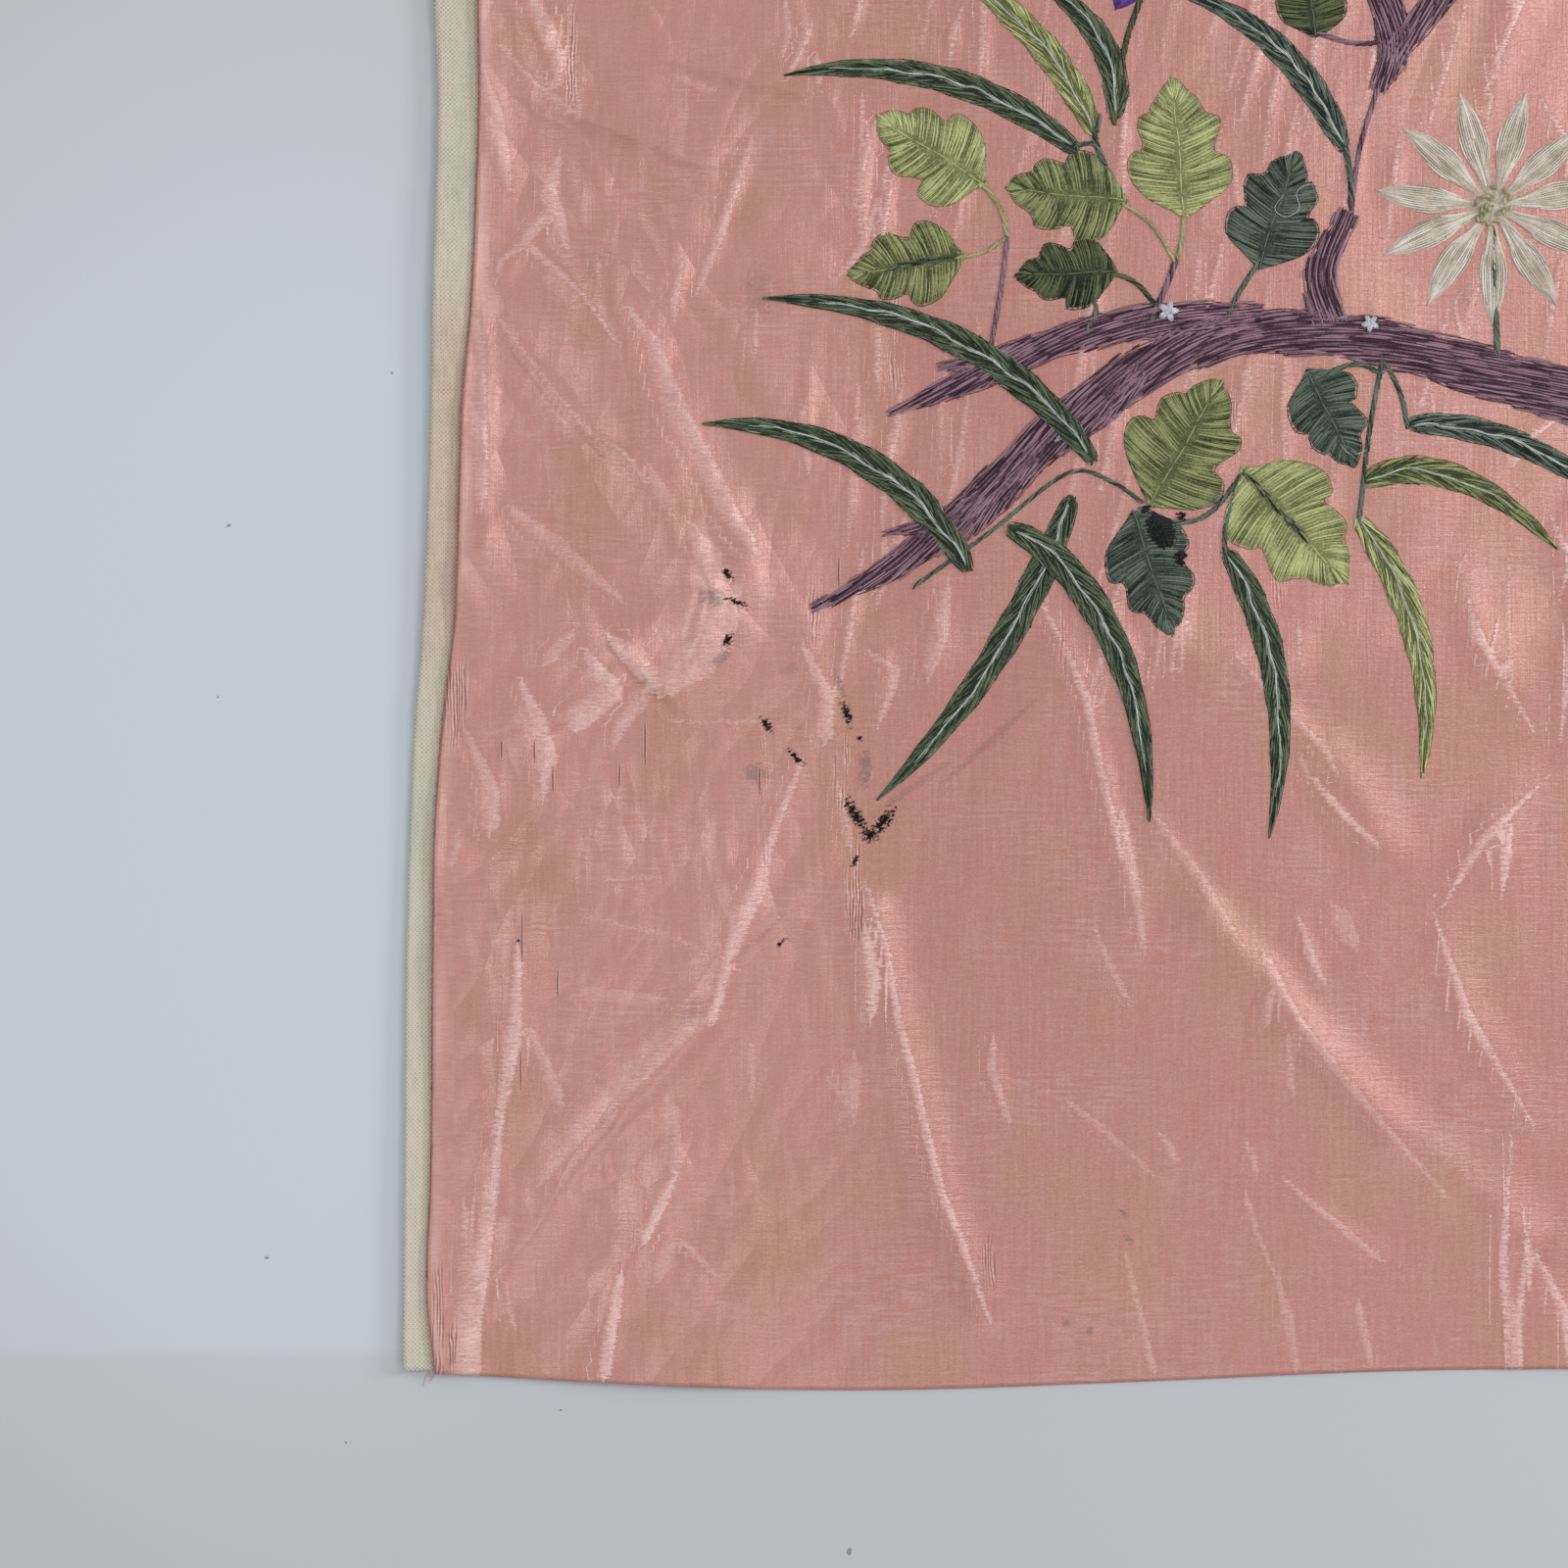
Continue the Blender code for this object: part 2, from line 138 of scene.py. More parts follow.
# Creases of the satin: width of the east side, of the west side, and points u, v, height from the top down.
creases = dict(
    rows=(
        (4.5, 12, ((162, 180, 0.2), (173, 133, 0.6), (182, 93, 0.7), (190, 66, 0.6), (204, 27, 0.1))),
        (7, 6, ((158, 166, 0.2), (162, 136, 0.8), (160, 112, 0.1))),
        (5, 9, ((223, 289, 0.2), (240, 258, 0.7), (247, 225, 0.7), (254, 190, 0.8), (260, 169, 0.1))),
        (4, 6, ((247, 292, 0.1), (255, 272, 0.5), (262, 255, 0.1))),
        (5, 8, ((264, 210, 0.2), (282, 183, 0.4), (296, 162, 0.1))),
        (6, 8, ((296, 266, 0.2), (315, 246, 0.8), (330, 226, 0.1))),
        (5, 7, ((323, 219, 0.1), (334, 209, 0.5), (346, 198, 0.1))),
        (6, 10, ((308, 154, 0.4), (319, 132, 0.5), (347, 98, 0.4), (372, 66, 0.1))),
        (4, 5, ((319, 168, 0.1), (324, 156, 0.5), (328, 143, 0.1))),
        (6, 9, ((314, 72, 0.1), (330, 60, 0.5), (346, 49, 0.4), (366, 34, 0.1))),
        (3.5, 5, ((206, 128, 0.1), (209, 112, 0.6), (214, 95, 0.1))),
        (6, 5, ((137, 275, 0.1), (143, 256, 0.9), (148, 239, 0.2))),
        (4, 6, ((167, 266, 0.5), (165, 252, 0.5), (163, 238, 0.1))),
        (10, 6, ((183, 290, 0.1), (186, 272, 0.8), (182, 254, 0.1))),
        (9, 8, ((33, 505, 0.3), (40, 492, 0.9), (45, 470, 0.1))),
        (8, 5, ((20, 484, 0.1), (22, 462, 0.9), (28, 440, 0.1))),
        (6, 8, ((44, 456, 0.1), (46, 440, 0.9), (52, 420, 0.1))),
        (4, 6, ((42, 428, 0.6), (30, 410, 0.5), (22, 398, 0.1))),
        (4, 5, ((37, 415, 0.1), (45, 408, 0.5), (62, 395, 0.1))),
        (4.5, 4, ((117, 455, 0.1), (111, 438, 0.5), (104, 416, 0.4), (98, 400, 0.1))),
        (3.5, 4, ((93, 411, 0.1), (91, 400, 0.5), (89, 392, 0.1))),
        (2.5, 6, ((28, 388, 0.2), (44, 366, 0.5), (59, 346, 0.5), (71, 341, 0.5), (80, 329, 0.1))),
        (12, 16, ((76, 393, 0.2), (87, 371, 0.9), (95, 350, 1.3), (104, 330, 1.2), (117, 307, 0.4))),
        (5, 4, ((15, 410, 0.1), (20, 385, 0.7), (21, 350, 0.7), (19, 300, 0.1))),
        (3, 4, ((30, 319, 0.1), (47, 306, 0.5), (64, 294, 0.1))),
        (22, 5, ((98, 305, 0.4), (103, 290, 2.2), (98, 272, 2.1), (90, 257, 0.4))),
        (18, 4, ((62, 280, 0.4), (72, 268, 1.8), (82, 257, 1.8), (90, 251, 0.3))),
        (7, 6, ((33, 255, 0.1), (38, 243, 0.9), (42, 228, 0.8), (45, 215, 0.1))),
        (6, 5, ((14, 218, 0.1), (17, 208, 0.7), (22, 198, 0.1))),
        (8, 10, ((136, 227, 0.1), (124, 196, 0.5), (117, 176, 1.0), (110, 158, 1.1), (103, 134, 0.6))),
        (5, 12, ((101, 132, 0.7), (58, 83, 0.6), (23, 37, 0.1))),
        (7, 5, ((31, 165, 0.1), (29, 140, 0.7), (28, 113, 0.7), (25, 80, 0.5), (22, 51, 0.1))),
        (8, 10, ((91, 79, 0.2), (80, 60, 0.9), (68, 34, 1.0), (62, 8, 0.2))),
        (3, 4, ((93, 51, 0.1), (99, 46, 0.4), (104, 40, 0.1))),
        (9, 5, ((17, 38, 0.1), (18, 27, 0.8), (20, 15, 0.1))),
        (4, 4, ((133, 510, 0.4), (137, 492, 0.6), (132, 480, 0.1))),
        (3, 4, ((144, 478, 0.1), (147, 470, 0.5), (151, 458, 0.1))),
        (4, 4, ((163, 462, 0.1), (158, 440, 0.6), (159, 415, 0.4), (153, 400, 0.1))),
        (4, 5, ((166, 440, 0.1), (168, 425, 0.6), (163, 408, 0.5), (157, 395, 0.1))),
        (5, 4, ((164, 390, 0.3), (163, 372, 0.6), (164, 358, 0.1))),
        (3, 4, ((141, 385, 0.1), (138, 358, 0.5), (141, 340, 0.1))),
    ),
    facets=(  # crumple: spacing across and along, bearing of the long way, height, seed
        (27.0, 58.0, -58, 2.3, 5),
        (23.0, 52.0, -126, 1.9, 6),
    ),
    lattice=700,  # how far the crumple's lattice is laid out
    shake=0.42,  # of its points, as a share of their spacing
    spare=50,  # past the panel's edges
    fall=99,  # the height from which the crumple is sounded
    height=1.15,  # of all the creases together
    quiet=(  # share of the crumple left, and where that sets in and ends: u at both sides, v below and above
        (0.35, (120, 175), (500, 540), (255, 300), (560, 600)),
        (0.22, (100, 165), (440, 500), (-99, -98), (225, 270)),
    ),
    seed=21,
    scattered=(
        dict(  # short upright puckers that the stitches draw up
            count=170, area=(150, 540, 275, 600), length=(16, 60), turn=(math.radians(-18), math.radians(2)),
            rise=(0.1, 0.5), bend=(-1.5, 1.5), ends=0.05, east=(1.8, 4.2), west=(2.5, 6),
        ),
        dict(  # the rest of the creases, past the photograph's view
            count=46, area=(378, 550, 20, 760), length=(30, 90), turn=(-0.9, 0.6),
            rise=(0.5, 1.4), bend=(-6, 6), ends=0.1, east=(5, 11), west=(6, 14),
        ),
    ),
)


# Bands painted on the satin: strength (above 0 a painted highlight, below 0 painted shade), then points u, v,
# half width along each.
bands = dict(
    rows=(
        (0.49, (74, 393, 0.8), (82, 382, 2.5), (86, 368, 4), (91, 355, 4.5), (98, 343, 4),
         (109, 321, 4), (118, 308, 2.5)),
        (0.48, (112, 291, 2.5), (102, 281, 11.5), (95, 268, 11.5), (88, 257, 5)),
        (0.7, (83, 258, 5), (68, 272, 2.5)),
        (0.4, (96, 314, 2), (102, 303, 5), (101, 296, 7)),
        (0.62, (59, 266, 2), (67, 254, 4.5), (54, 244, 5)),
        (0.65, (34, 256, 1), (40, 243, 3), (43, 229, 4), (42, 217, 1.5)),
        (0.45, (77, 250, 3), (71, 243, 2.5), (68, 236, 1.5)),
        (0.6, (17, 392, 1.2), (19, 375, 2), (18, 360, 3), (19, 343, 3), (19, 325, 2.5)),
        (0.4, (51, 274, 2), (44, 266, 2.5)),
        (0.55, (138, 269, 1), (146, 252, 2.6), (145, 239, 3)),
        (0.35, (190, 292, 1), (187, 276, 4), (183, 262, 2.5)),
        (0.45, (163, 267, 0.8), (171, 262, 1.5), (169, 253, 1.4), (165, 243, 0.8)),
        (0.35, (32, 319, 2), (47, 307, 3), (69, 289, 1)),
        (0.35, (82, 333, 1.5), (87, 323, 3)),
        (0.5, (137, 356, 0.8), (139, 337, 1.1)),
        (0.68, (136, 227, 0.8), (124, 196, 1.6), (121, 183, 3.6), (115, 172, 3.6), (110, 158, 2.4),
         (104, 134, 1.4)),
        (0.31, (101, 134, 1.5), (94, 132, 4.5), (78, 118, 5.5), (57, 96, 4), (42, 76, 2)),
        (0.68, (33, 159, 1.2), (32, 143, 2), (31, 126, 3), (26, 101, 2), (23, 74, 2.5), (19, 46, 4),
         (14, 25, 5.5), (13, 5, 6)),
        (1.0, (91, 78, 0.7), (86, 68, 2.2), (79, 53, 1.5)),
        (1.0, (70, 39, 1.8), (67, 21, 2.3), (64, 4, 2.5)),
        (0.75, (161, 181, 0.8), (168, 158, 1.1), (172, 133, 1.3), (177, 115, 1.8), (182, 93, 1.6),
         (188, 70, 1.5), (197, 47, 1.4), (205, 24, 0.7)),
        (0.85, (160, 165, 1.8), (163, 148, 2.8), (162, 136, 1.8)),
        (0.35, (155, 115, 3.5), (155, 100, 2)),
        (0.3, (88, 99, 4), (89, 82, 3)),
        (0.35, (37, 130, 1), (47, 106, 2.5)),
        (0.4, (13, 63, 1.5), (13, 42, 2)),
        (0.45, (28, 35, 1), (30, 23, 1)),
        (0.4, (93, 52, 1), (104, 41, 1)),
        (0.5, (207, 125, 1), (206, 115, 1.6), (212, 98, 1)),
        (0.3, (88, 50, 2.5), (84, 40, 2)),
        (0.3, (118, 123, 1), (118, 107, 1)),
        (0.35, (147, 110, 0.8), (155, 100, 0.8)),
        (0.65, (224, 288, 0.7), (234, 268, 1.1), (241, 251, 1.5), (246, 226, 1.5), (250, 210, 1.3),
         (254, 192, 0.7)),
        (0.42, (254, 211, 0.9), (258, 189, 1.7), (261, 169, 1.5), (262, 160, 0.6)),
        (0.29, (265, 210, 0.7), (275, 196, 1.9), (285, 182, 2.1), (297, 162, 1.3)),
        (0.4, (245, 164, 0.7), (250, 153, 1.1), (256, 141, 0.7)),
        (0.36, (307, 155, 2.4), (312, 145, 2.5), (319, 133, 1.7), (333, 115, 1.5), (347, 98, 1.3),
         (372, 70, 0.8)),
        (0.55, (320, 169, 1), (323, 158, 1.8), (327, 149, 1)),
        (0.7, (325, 221, 0.9), (334, 210, 1.5), (346, 199, 1.1)),
        (0.5, (320, 229, 0.7), (322, 224, 1)),
        (0.45, (297, 266, 0.5), (307, 255, 0.9), (319, 243, 1.2), (329, 232, 1.4), (332, 225, 0.7)),
        (0.5, (319, 277, 0.9), (319, 265, 0.7)),
        (0.5, (247, 286, 0.7), (257, 269, 1.1), (261, 259, 0.6)),
        (0.3, (334, 171, 4), (338, 163, 3)),
        (0.4, (308, 141, 1.3), (307, 133, 1.3)),
        (0.4, (315, 126, 0.8), (316, 109, 0.8)),
        (0.28, (236, 102, 1), (247, 93, 1.3), (263, 79, 0.8)),
        (0.4, (315, 74, 0.7), (326, 64, 1.2), (347, 47, 1.5)),
        (0.35, (301, 86, 1.2), (303, 79, 1.2)),
        (0.3, (300, 67, 1.2), (304, 54, 0.7), (311, 38, 0.6), (315, 24, 2), (318, 6, 1.2)),
        (0.4, (341, 27, 1.8), (345, 9, 1)),
        (0.35, (256, 45, 0.9), (261, 24, 1.1), (265, 6, 1.4)),
        (0.35, (270, 89, 1.4), (273, 84, 1.2)),
        (0.42, (20, 480, 1.5), (23, 466, 4.2), (26, 451, 3.8), (29, 440, 1.2)),
        (0.52, (38, 506, 2.5), (43, 496, 3.8), (47, 487, 3.3), (47, 477, 1.1)),
        (0.45, (51, 505, 0.7), (52, 487, 0.9), (55, 467, 0.6)),
        (0.35, (27, 490, 0.9), (40, 476, 1.2), (55, 465, 0.7)),
        (0.6, (47, 449, 1.4), (44, 436, 3.2), (47, 429, 2.8), (50, 418, 0.8)),
        (0.5, (42, 428, 1.9), (34, 418, 1.8), (26, 412, 0.7), (25, 406, 0.5)),
        (0.5, (37, 417, 1.1), (46, 409, 1.3), (57, 399, 0.7), (68, 383, 0.5)),
        (0.42, (118, 455, 0.7), (112, 438, 1.8), (106, 420, 1.8), (99, 402, 0.7)),
        (0.5, (93, 411, 0.6), (90, 398, 1.2), (90, 391, 0.7)),
        (0.45, (120, 393, 0.6), (119, 376, 0.6)),
        (0.42, (26, 390, 0.6), (45, 365, 0.4), (59, 349, 0.5), (70, 343, 0.6), (75, 337, 0.7),
         (79, 331, 0.4)),
        (0.5, (62, 411, 0.7), (62, 405, 0.6)),
        (0.3, (69, 425, 0.6), (67, 413, 0.5)),
        (0.45, (131, 506, 0.9), (132, 497, 0.9), (130, 489, 0.6)),
        (0.5, (139, 496, 1.5), (136, 489, 1.1), (132, 480, 0.6)),
        (0.5, (142, 485, 1.4), (143, 476, 0.6)),
        (0.45, (164, 463, 0.9), (159, 449, 1.5), (157, 434, 1.2)),
        (0.55, (164, 434, 0.9), (159, 417, 1.5), (151, 407, 0.9)),
        (0.5, (165, 396, 0.9), (164, 371, 0.9)),
        (0.3, (90, 480, 0.7), (102, 475, 1.5)),
        (0.25, (93, 466, 2), (90, 455, 2.5), (93, 450, 0.8)),
        (0.45, (14, 238, 0.8), (18, 229, 1.7), (23, 217, 3), (22, 206, 3.5)),
        (0.4, (10, 199, 1.8), (8, 191, 1.1)),
        (0.45, (150, 217, 1.2), (154, 198, 1.6)),
        (0.3, (88, 243, 0.35), (122, 243, 0.35)),
        (0.3, (66, 185, 0.5), (79, 186, 0.5)),
        (0.28, (60, 171, 0.5), (86, 165, 0.5), (104, 158, 0.5)),
        (0.25, (58, 143, 2.6), (83, 141, 1.8)),
        (-0.35, (33, 470, 2), (48, 463, 3.5), (64, 458, 3), (82, 452, 2.5), (97, 446, 1.5)),
        (-0.3, (90, 483, 1.5), (112, 477, 2.5), (134, 472, 1.5)),
        (-0.3, (26, 384, 0.6), (45, 360, 0.6), (62, 342, 0.6)),
        (-0.35, (41, 238, 1), (80, 258, 1.5), (96, 262, 1)),
        (-0.3, (108, 152, 1.2), (128, 170, 0.8)),
    ),
    reach=3.6,  # how far past its edge a band is still told from others
    far=9.0,  # the distance noted where there is no band
    bump=0.22,
    # the colour of the painted highlight of the bands, near the rim and on the drawn threads
    paintedSheen=(0.895, 0.535, 0.475),
)


def bandField(u, v):
    # at each point: distance across the nearest band with its side, the band's half width, and its strength
    across, half, pale = np.full_like(u, bands["far"]), np.zeros_like(u), np.zeros_like(u)
    best = np.full_like(u, -bands["reach"])
    for strength, *chain in (*bands["rows"], *scatteredBands()):
        for (u0, v0, w0), (u1, v1, w1) in zip(chain, chain[1:]):
            reach = math.hypot(u1 - u0, v1 - v0) / 2 + max(w0, w1) + bands["reach"]
            window = (np.abs(u - (u0 + u1) / 2) < reach) & (np.abs(v - (v0 + v1) / 2) < reach)
            away, share, side = runDistance(u[window], v[window], (u0, v0), (u1, v1))
            width = w0 + share * (w1 - w0)
            inside = width - away
            closer = inside > best[window]
            found = (best, inside), (across, away * np.sign(side)), (half, width), (pale, strength)
            for field, value in found:
                field[window] = np.where(closer, value, field[window])
    return across, half, pale


def scatteredBands():
    # the painted highlight along the small puckers among the stitches
    for _, _, chain in scatteredCreases():
        (u0, v0, _), (u1, v1, rise), (u2, v2, _) = chain
        yield (min(0.7, 1.1 * rise + 0.05), (u0, v0, 0.3), (u1, v1, 0.5 + 1.5 * rise), (u2, v2, 0.3))


def tentHeight(u, v, chain, east, west):
    # a ridge whose sides fall straight, each to its own width
    height = np.zeros_like(u)
    for (u0, v0, h0), (u1, v1, h1) in zip(chain, chain[1:]):
        away, share, side = runDistance(u, v, (u0, v0), (u1, v1))
        width = np.where(side > 0, east, west)
        height = np.maximum(height, (h0 + share * (h1 - h0)) * np.clip(1 - away / width, 0, 1))
    return height


def facetHeight(u, v, across, along, bearing, spread, seed):
    # crumple: flat triangles between points of a shaken lattice, each at its own height
    rng = np.random.default_rng(seed)
    bearing = math.radians(bearing)
    way = np.array([[-math.sin(bearing), math.cos(bearing)], [math.cos(bearing), math.sin(bearing)]])
    size = creases["lattice"]
    lanes, steps = np.meshgrid(*(np.arange(-size / pitch, size / pitch) for pitch in (across, along)))
    points = np.stack([lanes.ravel(), steps.ravel()], axis=1)
    points += rng.uniform(-creases["shake"], creases["shake"], points.shape)
    middle = np.array([panel["width"], panel["height"]]) / 2
    points = points * (across, along) @ way + middle
    points = points[(np.abs(points - middle) < middle + creases["spare"]).all(axis=1)]
    heights = rng.uniform(0, spread, len(points))
    flat, _, faces, origins, _, _ = delaunay_2d_cdt([Vector(p) for p in points], [], [], 0, 1e-5)
    corners = [(p.x, p.y, heights[origin[0]]) for p, origin in zip(flat, origins)]
    tree = BVHTree.FromPolygons(corners, faces)
    fall, down = creases["fall"], Vector((0, 0, -1))
    hits = [tree.ray_cast(Vector((x, y, fall)), down)[0] for x, y in zip(u.ravel(), v.ravel())]
    return np.array([hit.z if hit else 0 for hit in hits]).reshape(u.shape)


def scatteredCreases():
    rng = np.random.default_rng(creases["seed"])
    for kind in creases["scattered"]:
        left, right, bottom, top = kind["area"]
        for _ in range(kind["count"]):
            u, v = rng.uniform(left, right), rng.uniform(bottom, top)
            length, turn, rise, bend = (rng.uniform(*kind[key]) for key in ("length", "turn", "rise", "bend"))
            du, dv = length / 2 * math.sin(turn), length / 2 * math.cos(turn)
            chain = (u - du, v + dv, kind["ends"]), (u + bend, v, rise), (u + du, v - dv, kind["ends"])
            yield rng.uniform(*kind["east"]), rng.uniform(*kind["west"]), chain


def ramp(x, start, end):
    t = np.clip((x - start) / (end - start), 0, 1)
    return t * t * (3 - 2 * t)


def blurred(height, times):
    for _ in range(times):
        for axis in range(height.ndim):
            padded = np.pad(height, [(int(a == axis),) * 2 for a in range(height.ndim)], mode="edge")
            before = np.take(padded, range(0, height.shape[axis]), axis)
            after = np.take(padded, range(2, height.shape[axis] + 2), axis)
            height = height / 2 + (before + after) / 4
    return height


# The satin is a closed sheet: a fine grid on its face, a coarser one under it, joined round the rim.
satinSheet = dict(
    across=((0, 350, 184), (350, 560, 52)),  # from, to, how many steps
    up=((0, 510, 268), (510, 780, 64)),
    coarse=4,  # steps of the face to one of the underside
    thickness=0.5,
    foldShare=0.75,
    scallop=0.12,
    scallopPitch=3.1,
)


def stations(spans):
    found = [spans[0][0]]
    for start, end, count in spans:
        found += [start + (end - start) * (i + 1) / count for i in range(count)]
    return np.array(found, float)


acrossStations = stations(satinSheet["across"])
upStations = stations(satinSheet["up"])


def satinGrid():
    across, up = np.meshgrid(acrossStations, upStations)
    edge = satinEdge(up)
    u = edge + (panel["width"] - edge) * across / panel["width"]
    v = footEdge(u) + (panel["height"] - footEdge(u)) * up / panel["height"]
    height = creaseHeight(u, v)
    u = u + satinSheet["scallop"] * (across == 0) * np.sin(2 * math.pi * v / satinSheet["scallopPitch"])
    return u, v, height


def creaseHeight(u, v):
    crumple = sum(facetHeight(u, v, *row) for row in creases["facets"])
    for left, west, east, south, north in creases["quiet"]:
        inside = ramp(u, *west) * ramp(v, *south) * (1 - ramp(u, *east)) * (1 - ramp(v, *north))
        crumple = crumple * (1 - (1 - left) * inside)
    height = blurred(crumple, 1)
    for east, west, chain in (*creases["rows"], *scatteredCreases()):
        height += creases["height"] * tentHeight(u, v, chain, east, west)
    base = np.maximum(curlHeight(u, v), satinSheet["foldShare"] * foldHeight(u, v))
    return satinSheet["thickness"] + base + height


gridU, gridV, gridTop = satinGrid()
print("satin relief", round(float(gridTop.min()), 2), "to", round(float(gridTop.max()), 2), "mm")


def surfaceHeight(u, v):
    # height of the satin's face at any place of the panel
    u, v = np.asarray(u, float), np.asarray(v, float)
    up = (v - footEdge(u)) / (panel["height"] - footEdge(u)) * panel["height"]
    edge = satinEdge(up)
    across = (u - edge) / (panel["width"] - edge) * panel["width"]
    i = np.interp(across, acrossStations, np.arange(len(acrossStations)))
    j = np.interp(up, upStations, np.arange(len(upStations)))
    i0 = np.minimum(i.astype(int), len(acrossStations) - 2)
    j0 = np.minimum(j.astype(int), len(upStations) - 2)
    s, t = i - i0, j - j0
    low = gridTop[j0, i0] * (1 - s) + gridTop[j0, i0 + 1] * s
    high = gridTop[j0 + 1, i0] * (1 - s) + gridTop[j0 + 1, i0 + 1] * s
    return low * (1 - t) + high * t


def newObject(name, data):
    made = bpy.data.objects.new(name, data)
    bpy.context.scene.collection.objects.link(made)
    return made


def newPiece(name, mesh, slot, *nodes):
    made = newObject(name, mesh)
    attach(made, "root")
    if nodes:
        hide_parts(*nodes)
    return made


def closedSheet(name, u, v, top, thickness):
    # the face's grid, and under it every few rows and columns of it, never under the table
    rows, columns = top.shape
    coarse = satinSheet["coarse"]
    lowest = top.copy()
    for axis in (0, 1):
        for shift in range(1, coarse):
            for way in (shift, -shift):
                lowest = np.minimum(lowest, np.roll(top if axis == 0 else lowest, way, axis))
    under = np.ix_(range(0, rows, coarse), range(0, columns, coarse))
    bottom = np.maximum(lowest[under] - thickness, 0)
    grids = (u, v, top), (u[under], v[under], bottom)
    points, beneath = (np.stack([part.ravel() for part in parts], axis=1) for parts in grids)
    index = np.arange(rows * columns).reshape(rows, columns)
    low = np.arange(len(beneath)).reshape(bottom.shape) + rows * columns
    squares = (
        (index[:-1, :-1], index[:-1, 1:], index[1:, 1:], index[1:, :-1]),
        (low[:-1, :-1], low[1:, :-1], low[1:, 1:], low[:-1, 1:]),
    )
    faces = [face for corners in squares for face in np.stack(corners, axis=-1).reshape(-1, 4).tolist()]
    rims = ((grid[0], grid[:, -1], grid[-1, ::-1], grid[::-1, 0]) for grid in (index, low))
    for topRim, lowRim in zip(*rims):
        for k in range(len(lowRim) - 1):
            run = topRim[k * coarse:(k + 1) * coarse + 1].tolist()
            faces.append([int(lowRim[k]), int(lowRim[k + 1])] + run[::-1])
    mesh = bpy.data.meshes.new(name)
    mesh.from_pydata(place(np.concatenate([points, beneath])).tolist(), [], faces)
    mesh.shade_smooth()
    return mesh


def feed(node, values):
    # numbers, colours and wires into a node's inputs
    for key, value in dict(values).items():
        socket = node.inputs[key]
        if isinstance(value, Wire):
            value.tree.links.new(value.socket, socket)
        else:
            socket.default_value = (*value, 1.0) if socket.type == "RGBA" else value


# Node maths: a Wire is a socket that adds and multiplies with other wires or numbers.
class Wire:
    def __init__(self, tree, socket=None):
        self.tree, self.socket = tree, socket

    def node(self, kind, settings=(), values=(), out=0):
        made = self.tree.nodes.new(kind)
        for key, value in dict(settings).items():
            setattr(made, key, value)
        feed(made, values)
        return Wire(self.tree, made.outputs[out])

    def beside(self, out):
        # another output of the same node
        return Wire(self.tree, self.socket.node.outputs[out])

    def maths(self, operation, *others):
        return self.node("ShaderNodeMath", dict(operation=operation), dict(enumerate((self, *others))))

    def __add__(self, other):
        return self.maths("ADD", other)

    def __sub__(self, other):
        return self.maths("SUBTRACT", other)

    def __rsub__(self, other):
        return self.node("ShaderNodeMath", dict(operation="SUBTRACT"), {0: other, 1: self})

    def __mul__(self, other):
        return self.maths("MULTIPLY", other)

    def __truediv__(self, other):
        return self.maths("DIVIDE", other)

    __radd__ = __add__
    __rmul__ = __mul__

    def between(self, start, end):
        # 0 at start and 1 at end, eased
        settings = dict(interpolation_type="SMOOTHSTEP")
        return self.node("ShaderNodeMapRange", settings, {"Value": self, "From Min": start, "From Max": end})

    def swing(self, size):
        # noise as a swing about 0
        return (self - 0.5) * size

    def part(self, axis):
        return self.node("ShaderNodeSeparateXYZ", (), {0: self}, axis)

    def stretched(self, size, turn=0.0, centre=(0, 0, 0)):
        # coordinates about a centre, turned and counted in units of the size given in millimetres
        scale = [mm * part for part in size]
        values = {"Vector": self, "Location": centre, "Rotation": (0, 0, turn), "Scale": scale}
        return self.node("ShaderNodeMapping", dict(vector_type="TEXTURE"), values)

    def noise(self, size, detail=2, roughness=0.5, turn=0.0):
        # noise with blotches of the size given in millimetres
        values = {"Vector": self.stretched(size, turn), "Scale": 1, "Detail": detail, "Roughness": roughness}
        return self.node("ShaderNodeTexNoise", (), values)

    def attribute(self, name):
        return self.node("ShaderNodeAttribute", dict(attribute_name=name), (), 2)

    def mixed(self, first, second):
        # the first colour where this wire is 0, and the second where it is 1
        settings = dict(data_type="RGBA", clamp_factor=True)
        return self.node("ShaderNodeMix", settings, {0: self, 6: first, 7: second}, 2)

    def bump(self, strength, distance):
        # distance in millimetres
        values = {"Height": self, "Strength": strength, "Distance": distance * mm}
        return self.node("ShaderNodeBump", (), values)


def newMaterial(name):
    # a material with its shader, and a wire of the object's coordinates
    made = bpy.data.materials.new(name)
    made.use_nodes = True
    tree = made.node_tree
    return made, tree.nodes["Principled BSDF"], Wire(tree).node("ShaderNodeTexCoord", out="Object")


def marks(where, rows):
    # how far the nearest mark is, in marks' own sizes: u, v, half length, half width, turn in degrees
    nearest = None
    for u, v, halfLength, halfWidth, turn in rows:
        about = where.stretched((halfLength, halfWidth, 50), math.radians(turn), tuple(place((u, v, 0))))
        away = about.node("ShaderNodeVectorMath", dict(operation="LENGTH"), {0: about}, 1)
        nearest = away.maths("MINIMUM", nearest) if nearest else away
    return nearest


